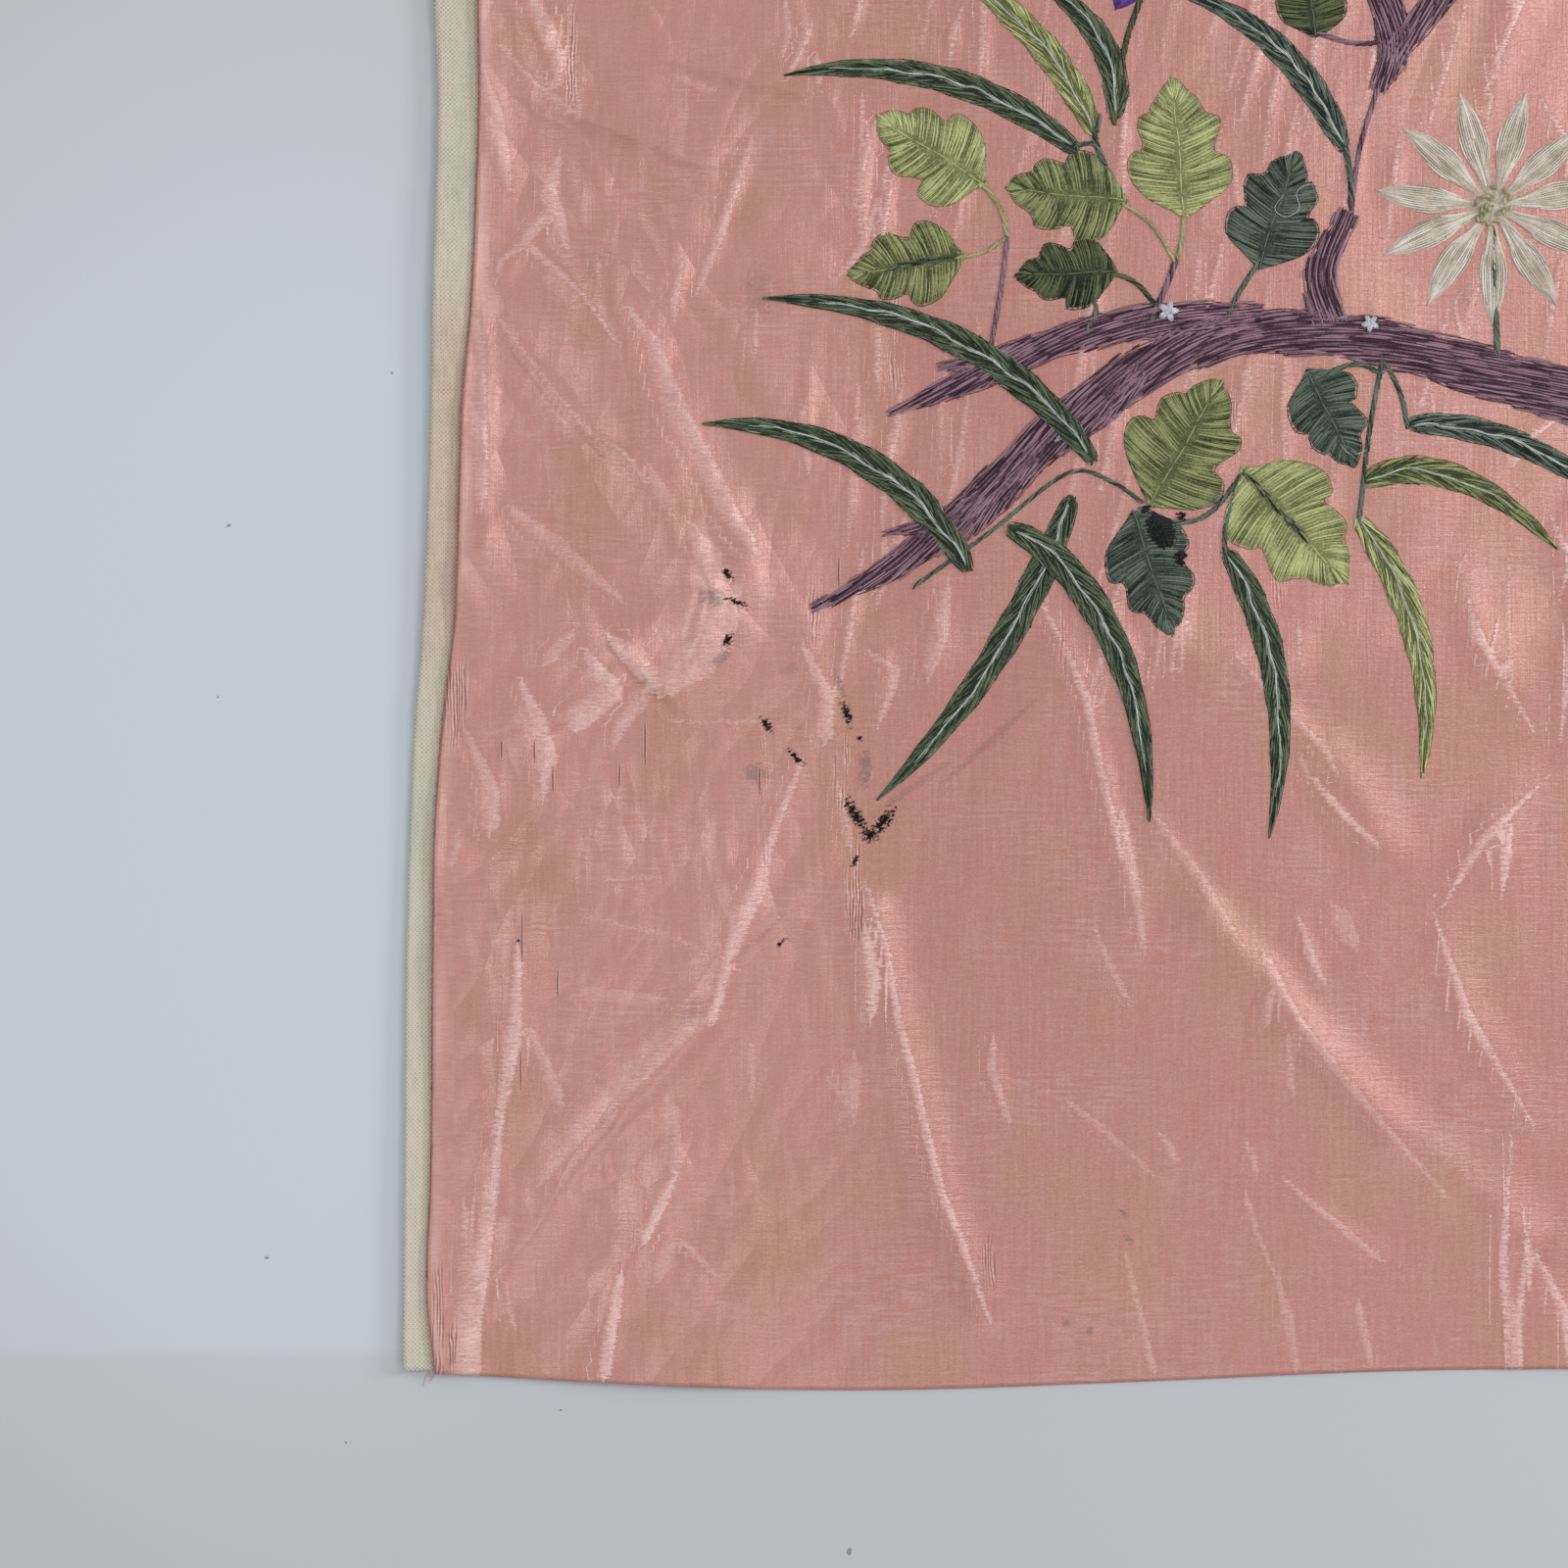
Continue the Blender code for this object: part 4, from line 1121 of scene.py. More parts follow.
# Long narrow leaves: thread, half width, and the four control points of the middle line.
blades = dict(
    blade_1=("green", 5.2, ((238, 452), (208, 478), (170, 488), (130, 480))),
    blade_2=("lime", 5.4, ((244, 458), (236, 484), (212, 508), (176, 532))),
    blade_3=("green", 5.0, ((251, 464), (256, 484), (244, 504), (216, 520))),
    blade_4=("teal", 5.2, ((336, 452), (326, 478), (306, 504), (270, 512))),
    blade_5=("green", 5.4, ((244, 338), (216, 378), (176, 398), (122, 398))),
    blade_6=("green", 5.6, ((198, 298), (180, 332), (146, 354), (100, 352))),
    blade_7=("green", 5.6, ((236, 326), (222, 286), (198, 246), (164, 214))),
    blade_8=("green", 5.6, ((212, 314), (240, 304), (264, 262), (264, 206))),
    blade_9=("green", 5.2, ((292, 306), (308, 282), (318, 246), (308, 200))),
    blade_10=("lime", 5.4, ((340, 318), (360, 294), (370, 260), (364, 222))),
    blade_11=("olive", 5.2, ((342, 330), (360, 342), (388, 334), (414, 306))),
    blade_12=("teal", 4.8, ((358, 352), (386, 354), (414, 342), (446, 316))),
)
bladeStitch = dict(
    fullness=2.02,
    swell=0.45,  # how a blade widens from its foot and narrows to its tip
    taper=0.8,
    waves=((1, 0.07, 33), (2, 0.06, 71)),  # of the outline: turn from blade to blade, size, pitch
    slant=15.0,  # how far a stitch runs forward from the middle to the side
    width=0.62,
    pitch=0.60,
    crown=0.25,
    bridge=0.75,  # extra height of a blade that crosses another motif
    crossing=("blade_5", "blade_6", "blade_8"),
    ribWidth=0.44,
    ribRun=(0.03, 0.84),
    wander=(-0.27, 0.21, 15),  # of the midrib across the blade: from, to, how many turns
    halo=1.7,  # spacing of the pale stitches beside the midrib
    haloWidth=0.42,
    fur=1.1,  # spacing of the short pale stitches along the edge
    furWidth=0.36,
    paleShare=0.3,  # of the stitches
    paleTone=(0.8, 0.2),  # middle and spread
    darkTone=(0.25, 0.22),
    accents=dict(green="sage", teal="sage", lime="stem", olive="moss"),
)


def sewBlade(number, name, thread, halfWidth, points):
    raised = bladeStitch["bridge"] if name in bladeStitch["crossing"] else 0.0
    motif = Motif(100 + number, raised)
    rng = motif.rng
    line = bezierLine(points, 61)
    s = np.linspace(0, 1, len(line))
    wave = 1 + sum(size * np.sin(s * pitch + k * number) for k, size, pitch in bladeStitch["waves"])
    form = bladeStitch["fullness"] * (s + 0.02) ** bladeStitch["swell"] * (1.004 - s) ** bladeStitch["taper"]
    ribbon = Ribbon(line, halfWidth * form * wave)
    rows = motif.padded(ribbon, 0.6, 34, 0.6, strand["pad"] + bladeStitch["crown"])
    for side in (1, -1):
        motif.rimBeside(ribbon, rows, side, 0.25)
        at = -bladeStitch["slant"] * 0.8
        while at < ribbon.size - 2:
            half = float(ribbon.halfAt(np.clip(at + 6, 1, ribbon.size - 3)))
            run = bladeStitch["slant"] * rng.uniform(0.6, 1.2)
            near = rng.uniform(0.0, 0.65)
            first, final = max(at, 0.2), min(at + run, ribbon.size - 0.1)
            share = np.array([0, 0.5, 1.0])
            across = near + (rng.uniform(0.80, 1.12) - near) * share
            tone = "paleTone" if rng.random() < bladeStitch["paleShare"] else "darkTone"
            shade = rng.normal(*bladeStitch[tone])
            line, width = ribbon.at(first + (final - first) * share, side * across), rng.uniform(0.8, 1.2)
            base = bladeStitch["crown"] * (1 - near) + rng.uniform(0, 0.1)
            motif.stitch(line, bladeStitch["width"] * width, strand["lift"], shade=shade, base=base)
            at += bladeStitch["pitch"] * math.hypot(run, half) / max(half, 1.2) * rng.uniform(0.40, 0.70)
        at = 2.0
        while at < ribbon.size - 7:
            ends = np.array([at, at + rng.uniform(2.5, 5.5)])
            out = rng.uniform(0.72, 0.92)
            line = ribbon.at(ends, side * np.array([out, out + rng.uniform(0.08, 0.24)]))
            motif.stitch(line, bladeStitch["furWidth"], 0.1, shade=rng.uniform(0, 0.8), thread=2, base=0.22)
            at += bladeStitch["fur"] * rng.uniform(0.5, 1.6)
    # the pale couched midrib, and short pale stitches beside it
    low, high = (share * ribbon.size for share in bladeStitch["ribRun"])
    wander = rng.uniform(*bladeStitch["wander"])

    def drift(at):
        return np.interp(at, np.linspace(low, high, len(wander)), wander)

    at = low
    while at < high - 4:
        ends = np.array([at, at + rng.uniform(3, 6)])
        line = ribbon.at(ends, drift(ends) + rng.uniform(-0.34, 0.34) * np.array([0.35, 1.0]))
        motif.stitch(line, bladeStitch["haloWidth"], 0.2, shade=rng.uniform(0.2, 1), thread=2, base=0.5)
        at += bladeStitch["halo"] * rng.uniform(0.3, 0.9)
    at, width = low, bladeStitch["ribWidth"]
    while at < high:
        run = rng.uniform(8, 13)
        for lane in (-0.5, 0.5):
            ends = np.linspace(at + rng.uniform(-1, 1), min(at + run, high + 2), 5)
            thin = max(0.2, min(1, (high - at) / 45)) * rng.uniform(0.4, 1.2)
            across = drift(ends) + lane * width * thin / np.maximum(ribbon.halfAt(ends), 0.5)
            line, shade = ribbon.at(ends, across), rng.uniform(0.3, 1)
            motif.stitch(line, width * (0.5 + 0.6 * thin), 0.3, shade=shade, thread=1, base=0.6)
        at += run * 0.82
    motif.finished("stitched_" + name, thread, (thread, "rib", bladeStitch["accents"][thread]), name)


# Lobed leaves: thread, u and v of the foot, direction in degrees, length, width.
leaves = dict(
    leaf_1=("lime", 277, 428, 95, 52, 38),
    leaf_2=("lime", 204, 440, 148, 48, 34),
    leaf_3=("olive", 196, 414, 190, 44, 30),
    leaf_4=("olive", 256, 434, 174, 46, 32),
    leaf_5=("deep", 252, 408, 182, 38, 26),
    leaf_6=("teal", 304, 409, 72, 46, 34),
    leaf_7=("olive", 264, 322, 60, 54, 42),
    leaf_8=("teal", 258, 320, -72, 48, 32),
    leaf_9=("lime", 298, 336, -48, 58, 42),
    leaf_10=("teal", 322, 372, -64, 40, 28),
    leaf_11=("deep", 325, 494, 97, 34, 25),
    leaf_12=("olive", 452, 394, 6, 50, 38),
    leaf_13=("lime", 474, 350, -30, 50, 38),
)
leafShape = dict(
    sides=(  # half outlines: share of the length, share of the half width
        ((0, 0.02), (0.06, 0.27), (0.15, 0.62), (0.24, 0.88), (0.35, 1.0), (0.46, 0.99), (0.50, 0.84),
         (0.51, 0.68), (0.57, 0.70), (0.66, 0.75), (0.74, 0.66), (0.77, 0.52), (0.79, 0.43), (0.85, 0.37),
         (0.92, 0.23), (0.97, 0.09), (1.0, 0.01)),
        ((0, 0.02), (0.05, 0.30), (0.12, 0.66), (0.20, 0.92), (0.30, 1.0), (0.38, 0.94), (0.42, 0.79),
         (0.44, 0.66), (0.52, 0.74), (0.62, 0.86), (0.70, 0.79), (0.73, 0.62), (0.76, 0.48), (0.83, 0.42),
         (0.90, 0.27), (0.96, 0.10), (1.0, 0.01)),
    ),
    steps=120,  # points of a half outline
    uneven=0.03,
    sweep=0.86,  # where on the midrib the last stitches start
    bow=0.07,  # how far a stitch bows towards the foot
    crown=0.2,
    rib=((-0.02, 0.18), (0.15, 0.34), (0.31, 0.5), (0.47, 0.66), (0.63, 0.84)),  # shares of the length
    ribWidth=0.5,
    overstitched=("leaf_3", "leaf_9"),
    overCount=26,
    overWidth=0.55,
    shades=(0.5, 0.25),
)


def sewLeaf(number, name, thread, u, v, direction, length, width):
    motif = Motif(200 + number, shades=leafShape["shades"])
    rng = motif.rng
    forward = pointing(math.radians(direction))
    rotate = np.array([forward, [-forward[1], forward[0]]])

    def onPanel(points):
        return np.asarray(points, float) @ rotate + (u, v)

    outlines = []
    for k, side in enumerate((1, -1)):
        knots = np.array(leafShape["sides"][(number + k) % 2])
        knots[1:-1] += rng.uniform(-1, 1, knots[1:-1].shape) * leafShape["uneven"] * (0.6, 1)
        outlines.append(throughLine(knots * (length, side * width / 2), leafShape["steps"]))
    rows = np.linspace(1, leafShape["steps"] - 2, leafShape["steps"] // 2).astype(int)
    left, right = (outline[rows] * (0.99, 1 - strand["inset"] / (width / 2)) for outline in outlines)
    spine = np.column_stack([(left[:, 0] + right[:, 0]) / 2, 0 * rows])
    motif.padding(onPanel(spine), onPanel(left), onPanel(right), strand["pad"] + leafShape["crown"], 0.5)
    for outline in outlines:
        motif.rim(onPanel(outline[2:-2:3] * (1, 1 + 0.5 / width)))
        travel = arcLength(outline)
        at, k = 0.4, 0
        while at < travel[-1] - 0.3:
            end = sampled(at, travel, outline)
            root = np.array([length * leafShape["sweep"] * np.clip(end[0] / length, 0, 1) ** 1.12, 0.0])
            reach = max(np.linalg.norm(end - root), 1)
            end = end + (end - root) / reach * rng.uniform(-1, 0.8) * min(strand["fray"], reach * 0.2)
            short = (0.0, 0.30, 0.06, 0.42)[k % 4] * rng.uniform(0.6, 1.1)
            begin = root + (end - root) * short
            middle = (begin + end) / 2 + np.array([-1, 0.0]) * leafShape["bow"] * np.linalg.norm(end - begin)
            quarter = 0.25 * begin + 0.5 * middle + 0.25 * end
            line = onPanel([begin, quarter * 0.5 + begin * 0.5, quarter, quarter * 0.5 + end * 0.5, end])
            thick = strand["width"] * rng.uniform(0.8, 1.15)
            motif.stitch(line, thick, strand["lift"], base=0.22 * (1 - short))
            at += strand["pitch"] * rng.uniform(0.6, 0.95)
            k += 1
    for start, final in leafShape["rib"]:
        ends = np.linspace(start, final, 4) * length
        wave = 0.3 * np.sin(ends / 5 + number) + rng.uniform(-0.15, 0.15)
        shade = rng.uniform(0.65, 1.0)
        line = onPanel(np.column_stack([ends, wave]))
        motif.stitch(line, leafShape["ribWidth"], 0.22, shade=shade, base=0.30)
    if name in leafShape["overstitched"]:
        for _ in range(leafShape["overCount"]):
            start = rng.uniform(0.0, 0.55) * length
            lean = rng.uniform(-1.6, 1.6)
            ends = np.array([[start, lean * 0.3], [start + rng.uniform(3, 7), lean]])
            shade = rng.uniform(-0.3, 0.8)
            motif.stitch(onPanel(ends), leafShape["overWidth"], 0.3, shade=shade, thread=2, base=0.65)
    motif.finished("stitched_" + name, thread, (thread, "rib", "teal"), name)


# Limbs of the two boughs: rows of u, v and width along the middle of each.
boughs = dict(
    bough_main=(
        ((452, 352, 17), (392, 370, 18), (338, 384, 17), (290, 384, 16), (246, 362, 15),
         (206, 328, 13), (174, 302, 10), (140, 284, 1)),
        ((306, 390, 11), (266, 390, 12), (230, 382, 12), (198, 368, 9), (168, 356, 1)),
        ((330, 388, 12), (327, 408, 11), (338, 430, 8)),
        ((204, 326, 8), (186, 316, 7), (166, 312, 1)),
        ((224, 342, 9), (208, 323, 8), (197, 309, 1)),
        ((222, 381, 8), (204, 375, 7), (186, 373, 1)),
        ((262, 372, 8), (250, 358, 7), (238, 345, 1)),
    ),
    bough_upper=(
        ((348, 474, 4), (354, 494, 12), (344, 530, 13), (338, 566, 9)),
        ((352, 484, 6), (376, 516, 11), (402, 548, 9)),
    ),
)
boughStitch = dict(
    run=13.0,
    slant=0.10,
    bark=0.16,  # unevenness of the outline
    pitch=0.78,
    crown=0.15,
    dome=0.35,  # how far the middle strands lie above the outer ones
    shades=(0.5, 0.27),
)


def sewBough(number, name, *limbs):
    motif = Motif(300 + number, shades=boughStitch["shades"])
    rng = motif.rng
    for rows in limbs:
        line = throughLine(rows, 5 * len(rows))
        k = np.arange(len(line))
        bark = 1 + boughStitch["bark"] * np.where(k % 3 == 0, 1.0, -0.5) * np.sin(2.4 * k + 1)
        ribbon = Ribbon(line[:, :2], np.maximum(line[:, 2] / 2 * bark, 0.4))
        steps = motif.padded(ribbon, 0.5, 8 * len(rows), 0.7, strand["pad"] + boughStitch["crown"])
        for side in (1, -1):
            motif.rimBeside(ribbon, steps, side, 0.15)
        widest = float(ribbon.half.max())
        lanes = int(2 * widest / boughStitch["pitch"])
        for lane in range(lanes):
            offset = (lane + 0.5) / lanes * 2 - 1
            at = -rng.uniform(0, boughStitch["run"])
            while at < ribbon.size:
                run = boughStitch["run"] * rng.uniform(0.6, 1.3)
                first, final = max(at, 0.0), min(at + run, ribbon.size)
                at += run * rng.uniform(0.86, 1.0)
                if final - first < 2:
                    continue
                ends = np.linspace(first, final, 4)
                across = offset * widest + boughStitch["slant"] * (ends - (first + final) / 2)
                half = ribbon.halfAt(ends)
                inside = np.abs(across) <= half + rng.uniform(0.0, 1.4)
                if inside.sum() < 2:
                    continue
                line = ribbon.at(ends[inside], across[inside] / half[inside])
                width = strand["width"] * rng.uniform(0.85, 1.2)
                base = boughStitch["dome"] * (1 - (offset * 0.9) ** 2) + rng.uniform(0, 0.12)
                motif.stitch(line, width, strand["lift"], base=base)
    motif.finished("stitched_" + name, "bough", ("bough",), name)


# Flowers: thread, u and v of the middle, petals, reach, petal half width, turn in degrees.
flowers = dict(
    flower_violet=("violet", 268, 538, 5, 38, 8.5, 28),
    flower_cream=("cream", 390, 432, 11, 44, 5.6, 8),
)
flowerStitch = dict(
    joint=0.34,  # share of the reach where petals part
    petal=(  # share of the reach, share of the width
        (0, 0.25), (0.34, 0.62), (0.52, 1.0), (0.74, 0.86), (0.9, 0.46), (1.0, 0.02),
    ),
    crown=0.12,
    dome=0.32,
    rise=0.08,  # of every other petal
    knots=26,
    knot=1.3,
    heart=0.17,  # share of the reach
)


def sewFlower(number, name, thread, u, v, petals, reach, halfWidth, turn):
    motif = Motif(400 + number)
    rng = motif.rng
    form = flowerStitch
    for k in range(petals):
        way = pointing(math.radians(turn) + 2 * math.pi * k / petals)
        bend = rng.uniform(-0.05, 0.05) * reach
        line = bezierLine(((0, 0), way * reach * 0.3, way * reach * 0.7, way * reach), 31) + (u, v)
        share = np.linspace(0, 1, len(line))
        side = np.array([-way[1], way[0]])
        line = line + side * (bend * share**2 * (1 - share) * 4)[:, None]
        half = halfWidth * np.interp(share, *zip(*form["petal"]))
        ribbon = Ribbon(line, half)
        motif.padded(ribbon, 0.5, 20, 0.7, strand["pad"] + form["crown"] + form["rise"] * (k % 2), 0.6)
        outer = slice(None, len(line) // 2 - 1, -1)  # the outer half, from the tip inwards
        lanes = int(2 * halfWidth / (strand["pitch"] * 0.95))
        for lane in range(lanes):
            offset = (lane + 0.5) / lanes * 2 - 1
            reachHere = float(np.interp(abs(offset) * halfWidth, half[outer], ribbon.length[outer]))
            start = ribbon.size * form["joint"] * rng.uniform(0.25, 0.9)
            if reachHere - start < 3:
                continue
            parts = 2 if reachHere - start > 16 else 1
            for part in range(parts):
                low = start + (reachHere - start) * part / parts - 1.5 * part
                high = start + (reachHere - start) * (part + 1) / parts
                ends = np.linspace(low, high, 5)
                here = ribbon.halfAt(ends)
                narrow = np.minimum(1, here / (0.78 * halfWidth))
                across = offset * narrow * 0.98 * np.minimum(1, halfWidth / np.maximum(here, 0.4))
                line = ribbon.at(ends, np.clip(across, -1, 1))
                width = strand["width"] * rng.uniform(0.85, 1.15)
                base = form["dome"] * (1 - offset**2) + 0.06 * (k % 2)
                motif.stitch(line, width, strand["lift"], base=base)
    for _ in range(form["knots"]):
        angle, out = rng.uniform(0, 2 * math.pi), reach * form["heart"] * math.sqrt(rng.uniform(0, 1))
        spot = out * pointing(angle) + (u, v)
        step = form["knot"] * pointing(angle + 1.2)
        motif.stitch([spot - step, spot, spot + step], form["knot"], 0.7, thread=1, base=0.8)
    motif.finished("stitched_" + name, thread, (thread, "stem"), name)


for sew, rows in ((sewBlade, blades), (sewLeaf, leaves), (sewBough, boughs), (sewFlower, flowers)):
    for number, (name, row) in enumerate(rows.items()):
        sew(number, name, *row)

# Stems in stem stitch: thread, strands side by side, and the points of the run.
stems = (
    ("bough", 5, ((264, 389), (270, 402), (274, 413))),
    ("deep", 4, ((249, 408), (259, 404), (267, 395))),
    ("stem", 4, ((274, 411), (276, 420), (277, 431))),
    ("stem", 3, ((253, 434), (265, 425), (274, 411))),
    ("teal", 4, ((306, 414), (298, 402), (291, 389))),
    ("stem", 4, ((202, 441), (209, 432), (212, 421))),
    ("stem", 3, ((192, 413), (203, 415), (212, 421))),
    ("bough", 4, ((212, 422), (210, 404), (205, 375))),
    ("teal", 3, ((177, 292), (205, 312), (234, 334), (250, 331), (262, 323))),
    ("teal", 4, ((260, 322), (274, 316), (287, 320), (299, 335))),
    ("teal", 4, ((292, 303), (292, 314), (297, 331))),
    ("teal", 4, ((350, 378), (345, 350), (341, 316))),
    ("teal", 4, ((350, 376), (356, 364), (359, 351))),
    ("teal", 4, ((350, 370), (340, 374), (324, 369))),
    ("teal", 4, ((236, 454), (244, 455), (248, 447))),
    ("teal", 5, ((247, 466), (244, 458), (248, 446))),
    ("teal", 4, ((246, 419), (246, 417), (245, 415))),
    ("teal", 5, ((245, 397), (244, 391), (241, 386))),
    ("teal", 5, ((338, 428), (338, 441), (336, 454))),
    ("bough", 4, ((338, 428), (341, 452), (348, 476))),
    ("bough", 4, ((350, 492), (338, 492), (325, 496))),
    ("deep", 5, ((267, 534), (262, 512), (255, 490), (251, 462))),
    ("teal", 5, ((390, 426), (391, 400), (392, 376))),
    ("bough", 5, ((449, 356), (448, 376), (455, 395))),
    ("bough", 5, ((450, 352), (464, 353), (478, 349))),
)
stemStitch = dict(
    width=0.8,
    lift=0.4,
    run=(6, 9),
    pitch=0.36,
    spread=0.62,
)


def byThread(rows, seed):
    # a motif for each thread, in the order in which threads come up, with that thread's rows
    for group, thread in enumerate(dict.fromkeys(row[0] for row in rows)):
        yield thread, Motif(seed + group), [row[1:] for row in rows if row[0] == thread]


def sewStems():
    for thread, motif, runs in byThread(stems, 500):
        rng = motif.rng
        for strands, points in runs:
            line = throughLine(points, 12 * len(points))
            ribbon = Ribbon(line, np.full(len(line), 1.0))
            reach = stemStitch["pitch"] * strands * stemStitch["spread"]
            at = -2.0
            while at < ribbon.size - 2:
                run = rng.uniform(*stemStitch["run"])
                ends = np.clip(np.linspace(at, at + run, 4), 0, ribbon.size)
                slanted = ribbon.at(ends, np.linspace(-reach, reach, 4))
                base = 0.12 + rng.uniform(0, 0.1)
                motif.stitch(slanted, stemStitch["width"], stemStitch["lift"], base=base)
                at += run * 0.9 / strands
        motif.finished("stems_" + thread, "lime" if thread == "stem" else thread, (thread,))


sewStems()

# Small silver stars over the bough, and black tufts on a leaf: u, v, half width, half height, turn, strands.
stars = dict(
    places=((271, 393.5, 3.9), (345, 389, 3.2)),
    points=5,
    rays=34,
    rayWidth=0.8,
    over=0.95,  # height over the satin
    smear=(231, 347, 2.6, 0.7, 30, 9),
)
tufts = ((267, 312, 2.6, 6.6, 32, 120), (275.5, 303, 2.2, 2.4, 0, 44), (263, 321, 2.0, 1.2, 30, 18))


def scatter(motif, u, v, halfWidth, halfHeight, turn, count, length, width, base):
    # short strands lying about within an oval
    rng = motif.rng
    east, north = pointing(math.radians(turn))
    for _ in range(count):
        out, angle = math.sqrt(rng.uniform(0, 1)), rng.uniform(0, 2 * math.pi)
        x, y = np.array([halfWidth, halfHeight]) * out * pointing(angle)
        spot = np.array([u + x * east - y * north, v + x * north + y * east])
        half = pointing(rng.uniform(0, math.pi)) * rng.uniform(0.4, 1.0) * length
        motif.stitch([spot - half, spot, spot + half], width, 0.25, base=base + rng.uniform(-0.1, 0.15))


def sewTufts():
    motif = Motif(650)
    for row in tufts:
        scatter(motif, *row, 1.0, 0.8, 0.65)
    motif.finished("ink_tufts", "deep", ("soot",))


def sewStars():
    motif = Motif(600)
    rng = motif.rng
    for u, v, size in stars["places"]:
        start = rng.uniform(0, 6)
        for ray in range(stars["rays"]):
            angle = 2 * math.pi * ray / stars["rays"]
            point = abs(math.cos(stars["points"] * angle / 2)) ** 1.6
            tip = pointing(angle + start) * size * (0.5 + 0.55 * point)
            motif.stitch([(u, v), tip + (u, v)], stars["rayWidth"], 0.2, base=stars["over"])
        scatter(motif, u, v, size * 0.4, size * 0.4, 0, 12, 1.1, 0.7, 1.15)
    scatter(motif, *stars["smear"], 0.9, 0.4, 0.85)
    motif.finished("silver_stars", "cream", ("silver",))


sewTufts()
sewStars()

# Short slits in the satin, and the small stitches that hold the tape.
edging = dict(
    slits=(  # u, v from, to
        (26.4, 229, 236), (38.5, 228, 236), (45.2, 217, 227), (69.6, 219, 227), (79, 227, 243),
        (34, 155, 172), (47, 142, 152), (33.5, 108, 122), (121, 216, 226), (150, 292, 303),
    ),
    slitWidth=0.4,
    lip=0.5,  # width of a slit's raised sides, and how far they lie from it
    loopWidth=0.34,
    pitch=(2.6, 4.4),  # of the loops that hold the tape
)


def sewEdging():
    motif = Motif(700)
    rng = motif.rng
    for u, low, high in edging["slits"]:
        v = np.linspace(high, low, 4)
        wave = 0.12 * np.sin(v / 1.7)
        # the slit as a dark strand, painted shade in the gap
        motif.stitch(np.column_stack([u + wave, v]), edging["slitWidth"], 0.10, thread=1)
        # its raised sides in a light pink, a painted highlight
        for side in (-edging["lip"], edging["lip"]):
            motif.stitch(np.column_stack([u + side + wave, v]), edging["lip"], 0.10, shade=0.95, base=-0.02)
    at = 6.0
    while at < panel["height"] - 2:
        edge = float(satinEdge(at))
        line = ((edge - 0.35, at - 0.3), (edge + 0.7, at + 0.45))
        motif.stitch(line, edging["loopWidth"], 0.08, shade=rng.uniform(0, 0.4))
        at += rng.uniform(*edging["pitch"])
    motif.finished("edging_threads", "satin", ("pink", "slit"))


sewEdging()

# Loose ends: thread, width, height over the cloth, and the points of the run.
looseEnds = (
    ("silver", 0.26, 0.9,
     ((313, 436), (310, 431), (314, 428), (319, 431), (318, 437), (323, 440), (331, 438))),
    ("silver", 0.24, 0.7, ((324, 400), (326, 394), (333, 391), (340, 393))),
    ("cream", 0.26, 0.5, ((334, 345), (338, 341), (344, 343), (346, 349))),
    ("pink", 0.30, 0.3, ((1.5, 9.0), (0.2, 5.0), (-1.6, 2.4), (-2.6, -1.6))),
    ("pink", 0.26, 0.3, ((0.8, 7.5), (-0.4, 4.2), (0.4, 1.8), (-0.2, 0.2))),
    ("pink", 0.26, 0.3, ((1.8, 8.0), (1.0, 5.0), (1.2, 3.0), (0.4, 1.0))),
)
looseShade = 0.8
loosePoints = 36


def layLooseEnds():
    for thread, motif, ends in byThread(looseEnds, 800):
        for width, rise, points in ends:
            line = throughLine(points, 8 * len(points))
            u, v = line[:, 0], line[:, 1]
            onSatin = (u > satinEdge(v)) & (v > footEdge(u))
            height = np.where(onSatin, surfaceHeight(u, v), 0.3) + rise
            points = np.column_stack([line, blurred(height, 6)])
            motif.lay(points, thread=0, shade=looseShade, thick=width / 2 * mm, lift=0.0)
        slot = "satin" if thread == "pink" else "cream"
        motif.finished("loose_ends_" + thread, slot, (thread,), points=loosePoints)


layLooseEnds()

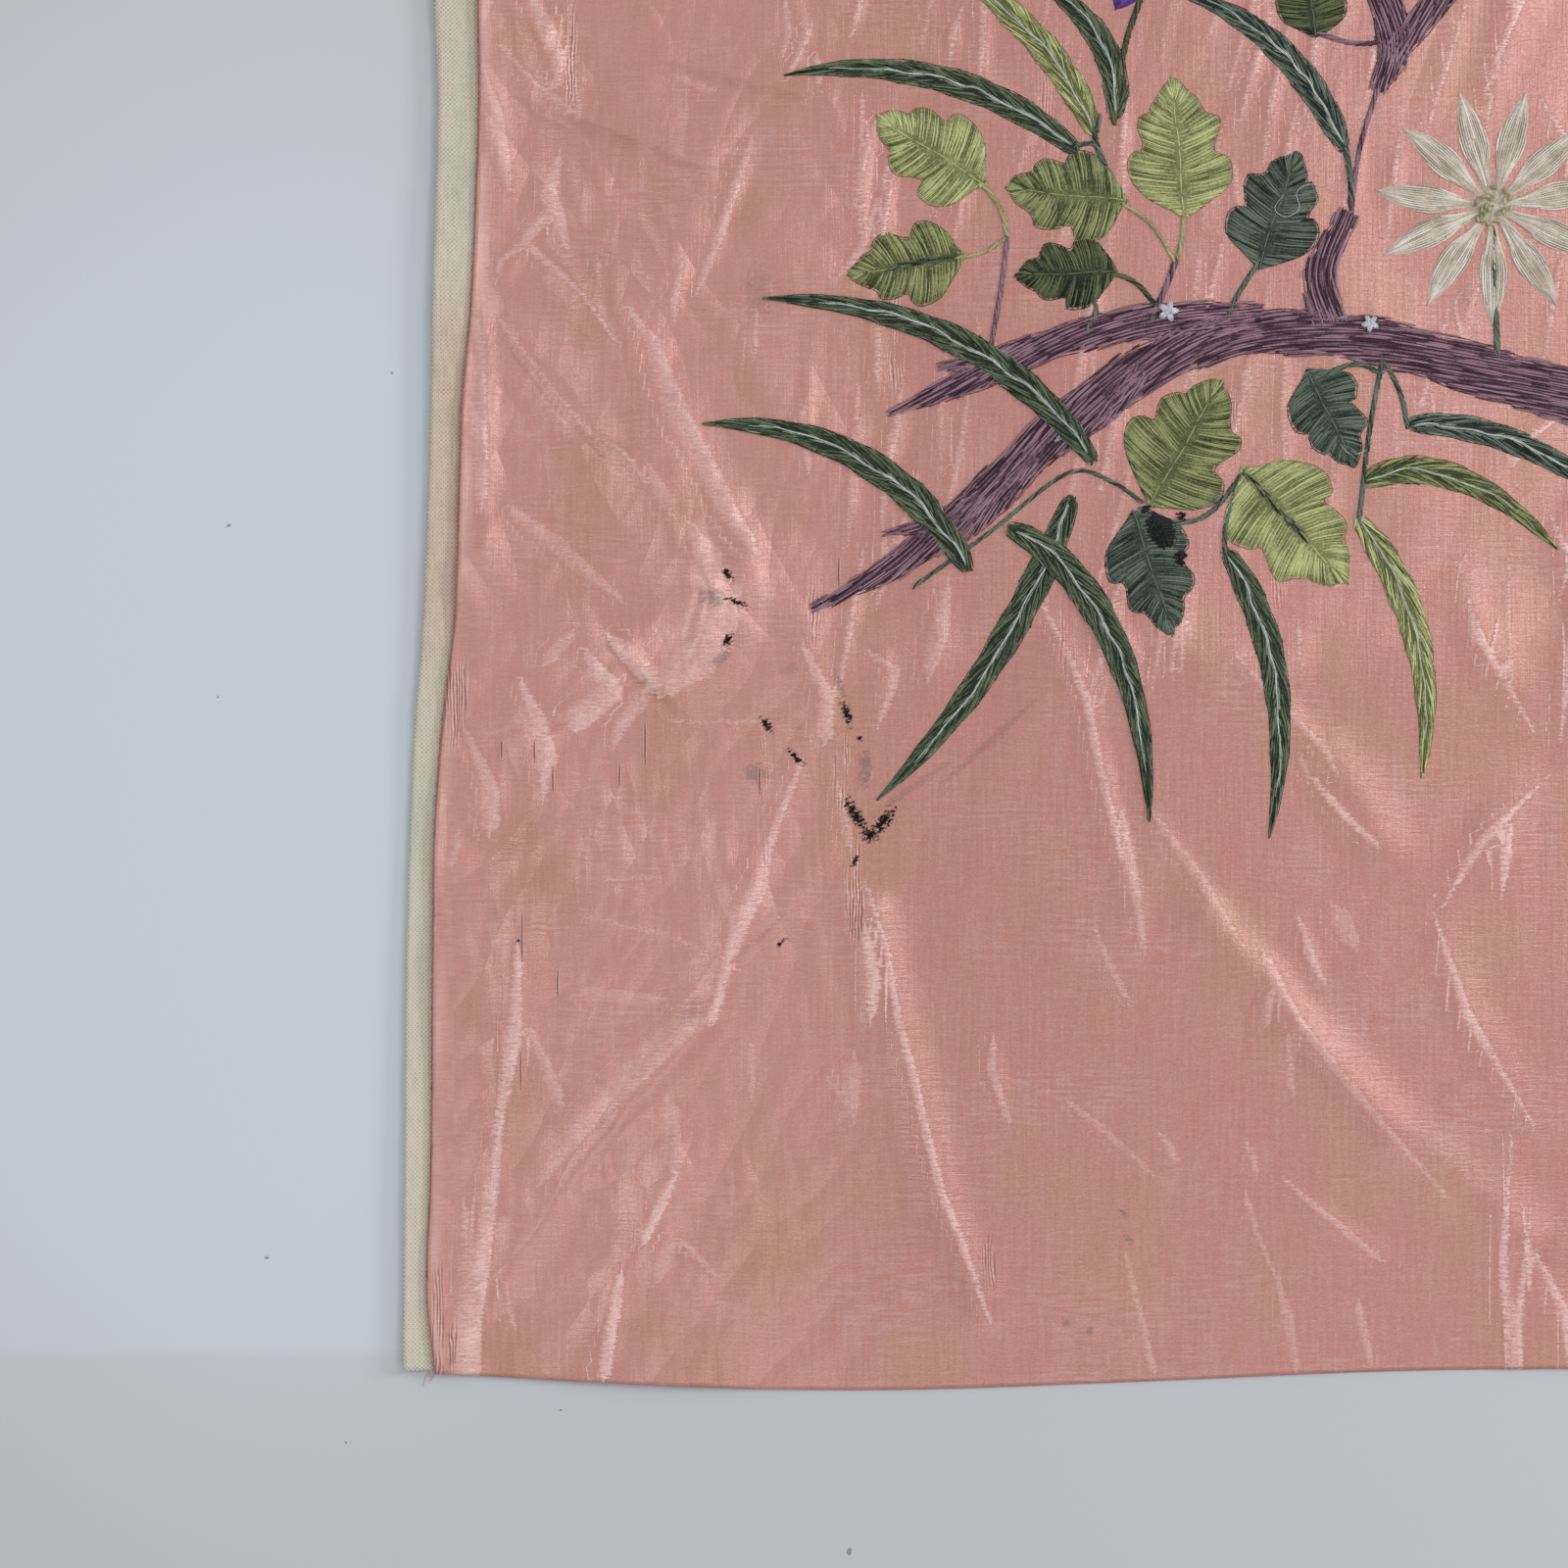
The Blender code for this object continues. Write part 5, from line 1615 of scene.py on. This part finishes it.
# Floor, lights and camera.
studio = dict(
    floor=(0.695, 0.742, 0.800),
    shadedAndDullFloor=(0.610, 0.615, 0.635),
    # a painted pool of light on the table, as a mark: the table is painted darker away from it
    lightPool=(-62, 215, 420, 300, 90),  # the brightest part of the table, as a mark
    seam=9.0,  # the v below which the table is duller
    specks=(  # u, v, half length, half width, turn in degrees
        (-74, 315, 0.9, 0.6, 20), (-60, 46, 0.8, 0.7, 0), (-14, 371, 0.5, 0.5, 0), (-78, 252, 0.6, 0.4, 60),
        (154, -62, 1.6, 1.0, 80), (48, -10, 0.6, 0.4, 0), (-31, -22, 0.5, 0.4, 0),
    ),
    speckColour=(0.12, 0.13, 0.15),
    floorSize=6.0,
    floorDrop=0.0001,
    world=(0.86, 0.93, 1.0),
    worldStrength=0.52,
    # name, bearing from the right towards the top, angle off the vertical, distance, size, watts, colour
    lights=(
        ("key", 30, 29, 2.6, 0.8, 9.0, (1.0, 0.96, 0.95)),
        ("left", 175, 28, 2.6, 0.8, 6.0, (1.0, 0.97, 0.96)),
        ("foot", 285, 28, 2.6, 0.8, 3.5, (1.0, 0.97, 0.96)),
        ("low", 12, 62, 2.2, 0.7, 12.0, (1.0, 0.97, 0.93)),
    ),
    eye=(130.0, 220.0),  # the panel point under the camera
    eyeHeight=1.6,
    seen=0.576,  # width of the picture at the table
    sensor=36.0,
)


def setStage():
    bpy.ops.mesh.primitive_plane_add(size=studio["floorSize"], location=(0, 0, -studio["floorDrop"]))
    floor = bpy.context.object
    floor.name = "floor"
    made, shader, where = newMaterial("pale_table")
    grain = where.noise((1.3, 1.3, 1.3))
    cloud = where.noise((160, 160, 160))
    away = marks(where, (studio["lightPool"],))
    seam = float(place((0, studio["seam"], 0))[1])
    # painted shade away from the pool of light, and the duller table below the seam
    shadeAndSeam = away.between(0.3, 0.95) * 0.9 + where.part(1).between(seam + 4 * mm, seam - mm) * 0.42
    tone = shadeAndSeam + grain.swing(0.10) + cloud.swing(0.15)
    colour = tone.mixed(studio["floor"], studio["shadedAndDullFloor"])
    specks = (marks(where, studio["specks"]) + (grain - 0.5)).between(1.1, 0.8) * 0.6
    colour = specks.mixed(colour, studio["speckColour"])
    feed(shader, {"Base Color": colour, "Roughness": 0.75, "Specular IOR Level": 0.2})
    floor.data.materials.append(made)
    x, y, _ = place((*studio["eye"], 0))
    for name, bearing, lean, distance, size, watts, colour in studio["lights"]:
        light = bpy.data.lights.new(name, "AREA")
        light.shape = "DISK"
        light.size, light.energy, light.color = size, watts, colour
        lamp = newObject(name, light)
        lean = math.radians(lean)
        way = Vector((*pointing(math.radians(bearing)) * math.sin(lean), math.cos(lean)))
        lamp.location = Vector((x, y, 0)) + way * distance
        lamp.rotation_euler = (-way).to_track_quat("-Z", "Y").to_euler()
    world = bpy.data.worlds.new("room")
    world.use_nodes = True
    feed(world.node_tree.nodes["Background"], dict(Color=studio["world"], Strength=studio["worldStrength"]))
    bpy.context.scene.world = world
    camera = newObject("camera", bpy.data.cameras.new("camera"))
    camera.location = (x, y, studio["eyeHeight"])
    camera.data.sensor_width = studio["sensor"]
    camera.data.lens = studio["sensor"] * studio["eyeHeight"] / studio["seen"]
    camera.data.clip_start = 0.01
    bpy.context.scene.camera = camera
    bpy.context.scene.view_settings.view_transform = "Standard"


setStage()
print("stage, lights and camera")
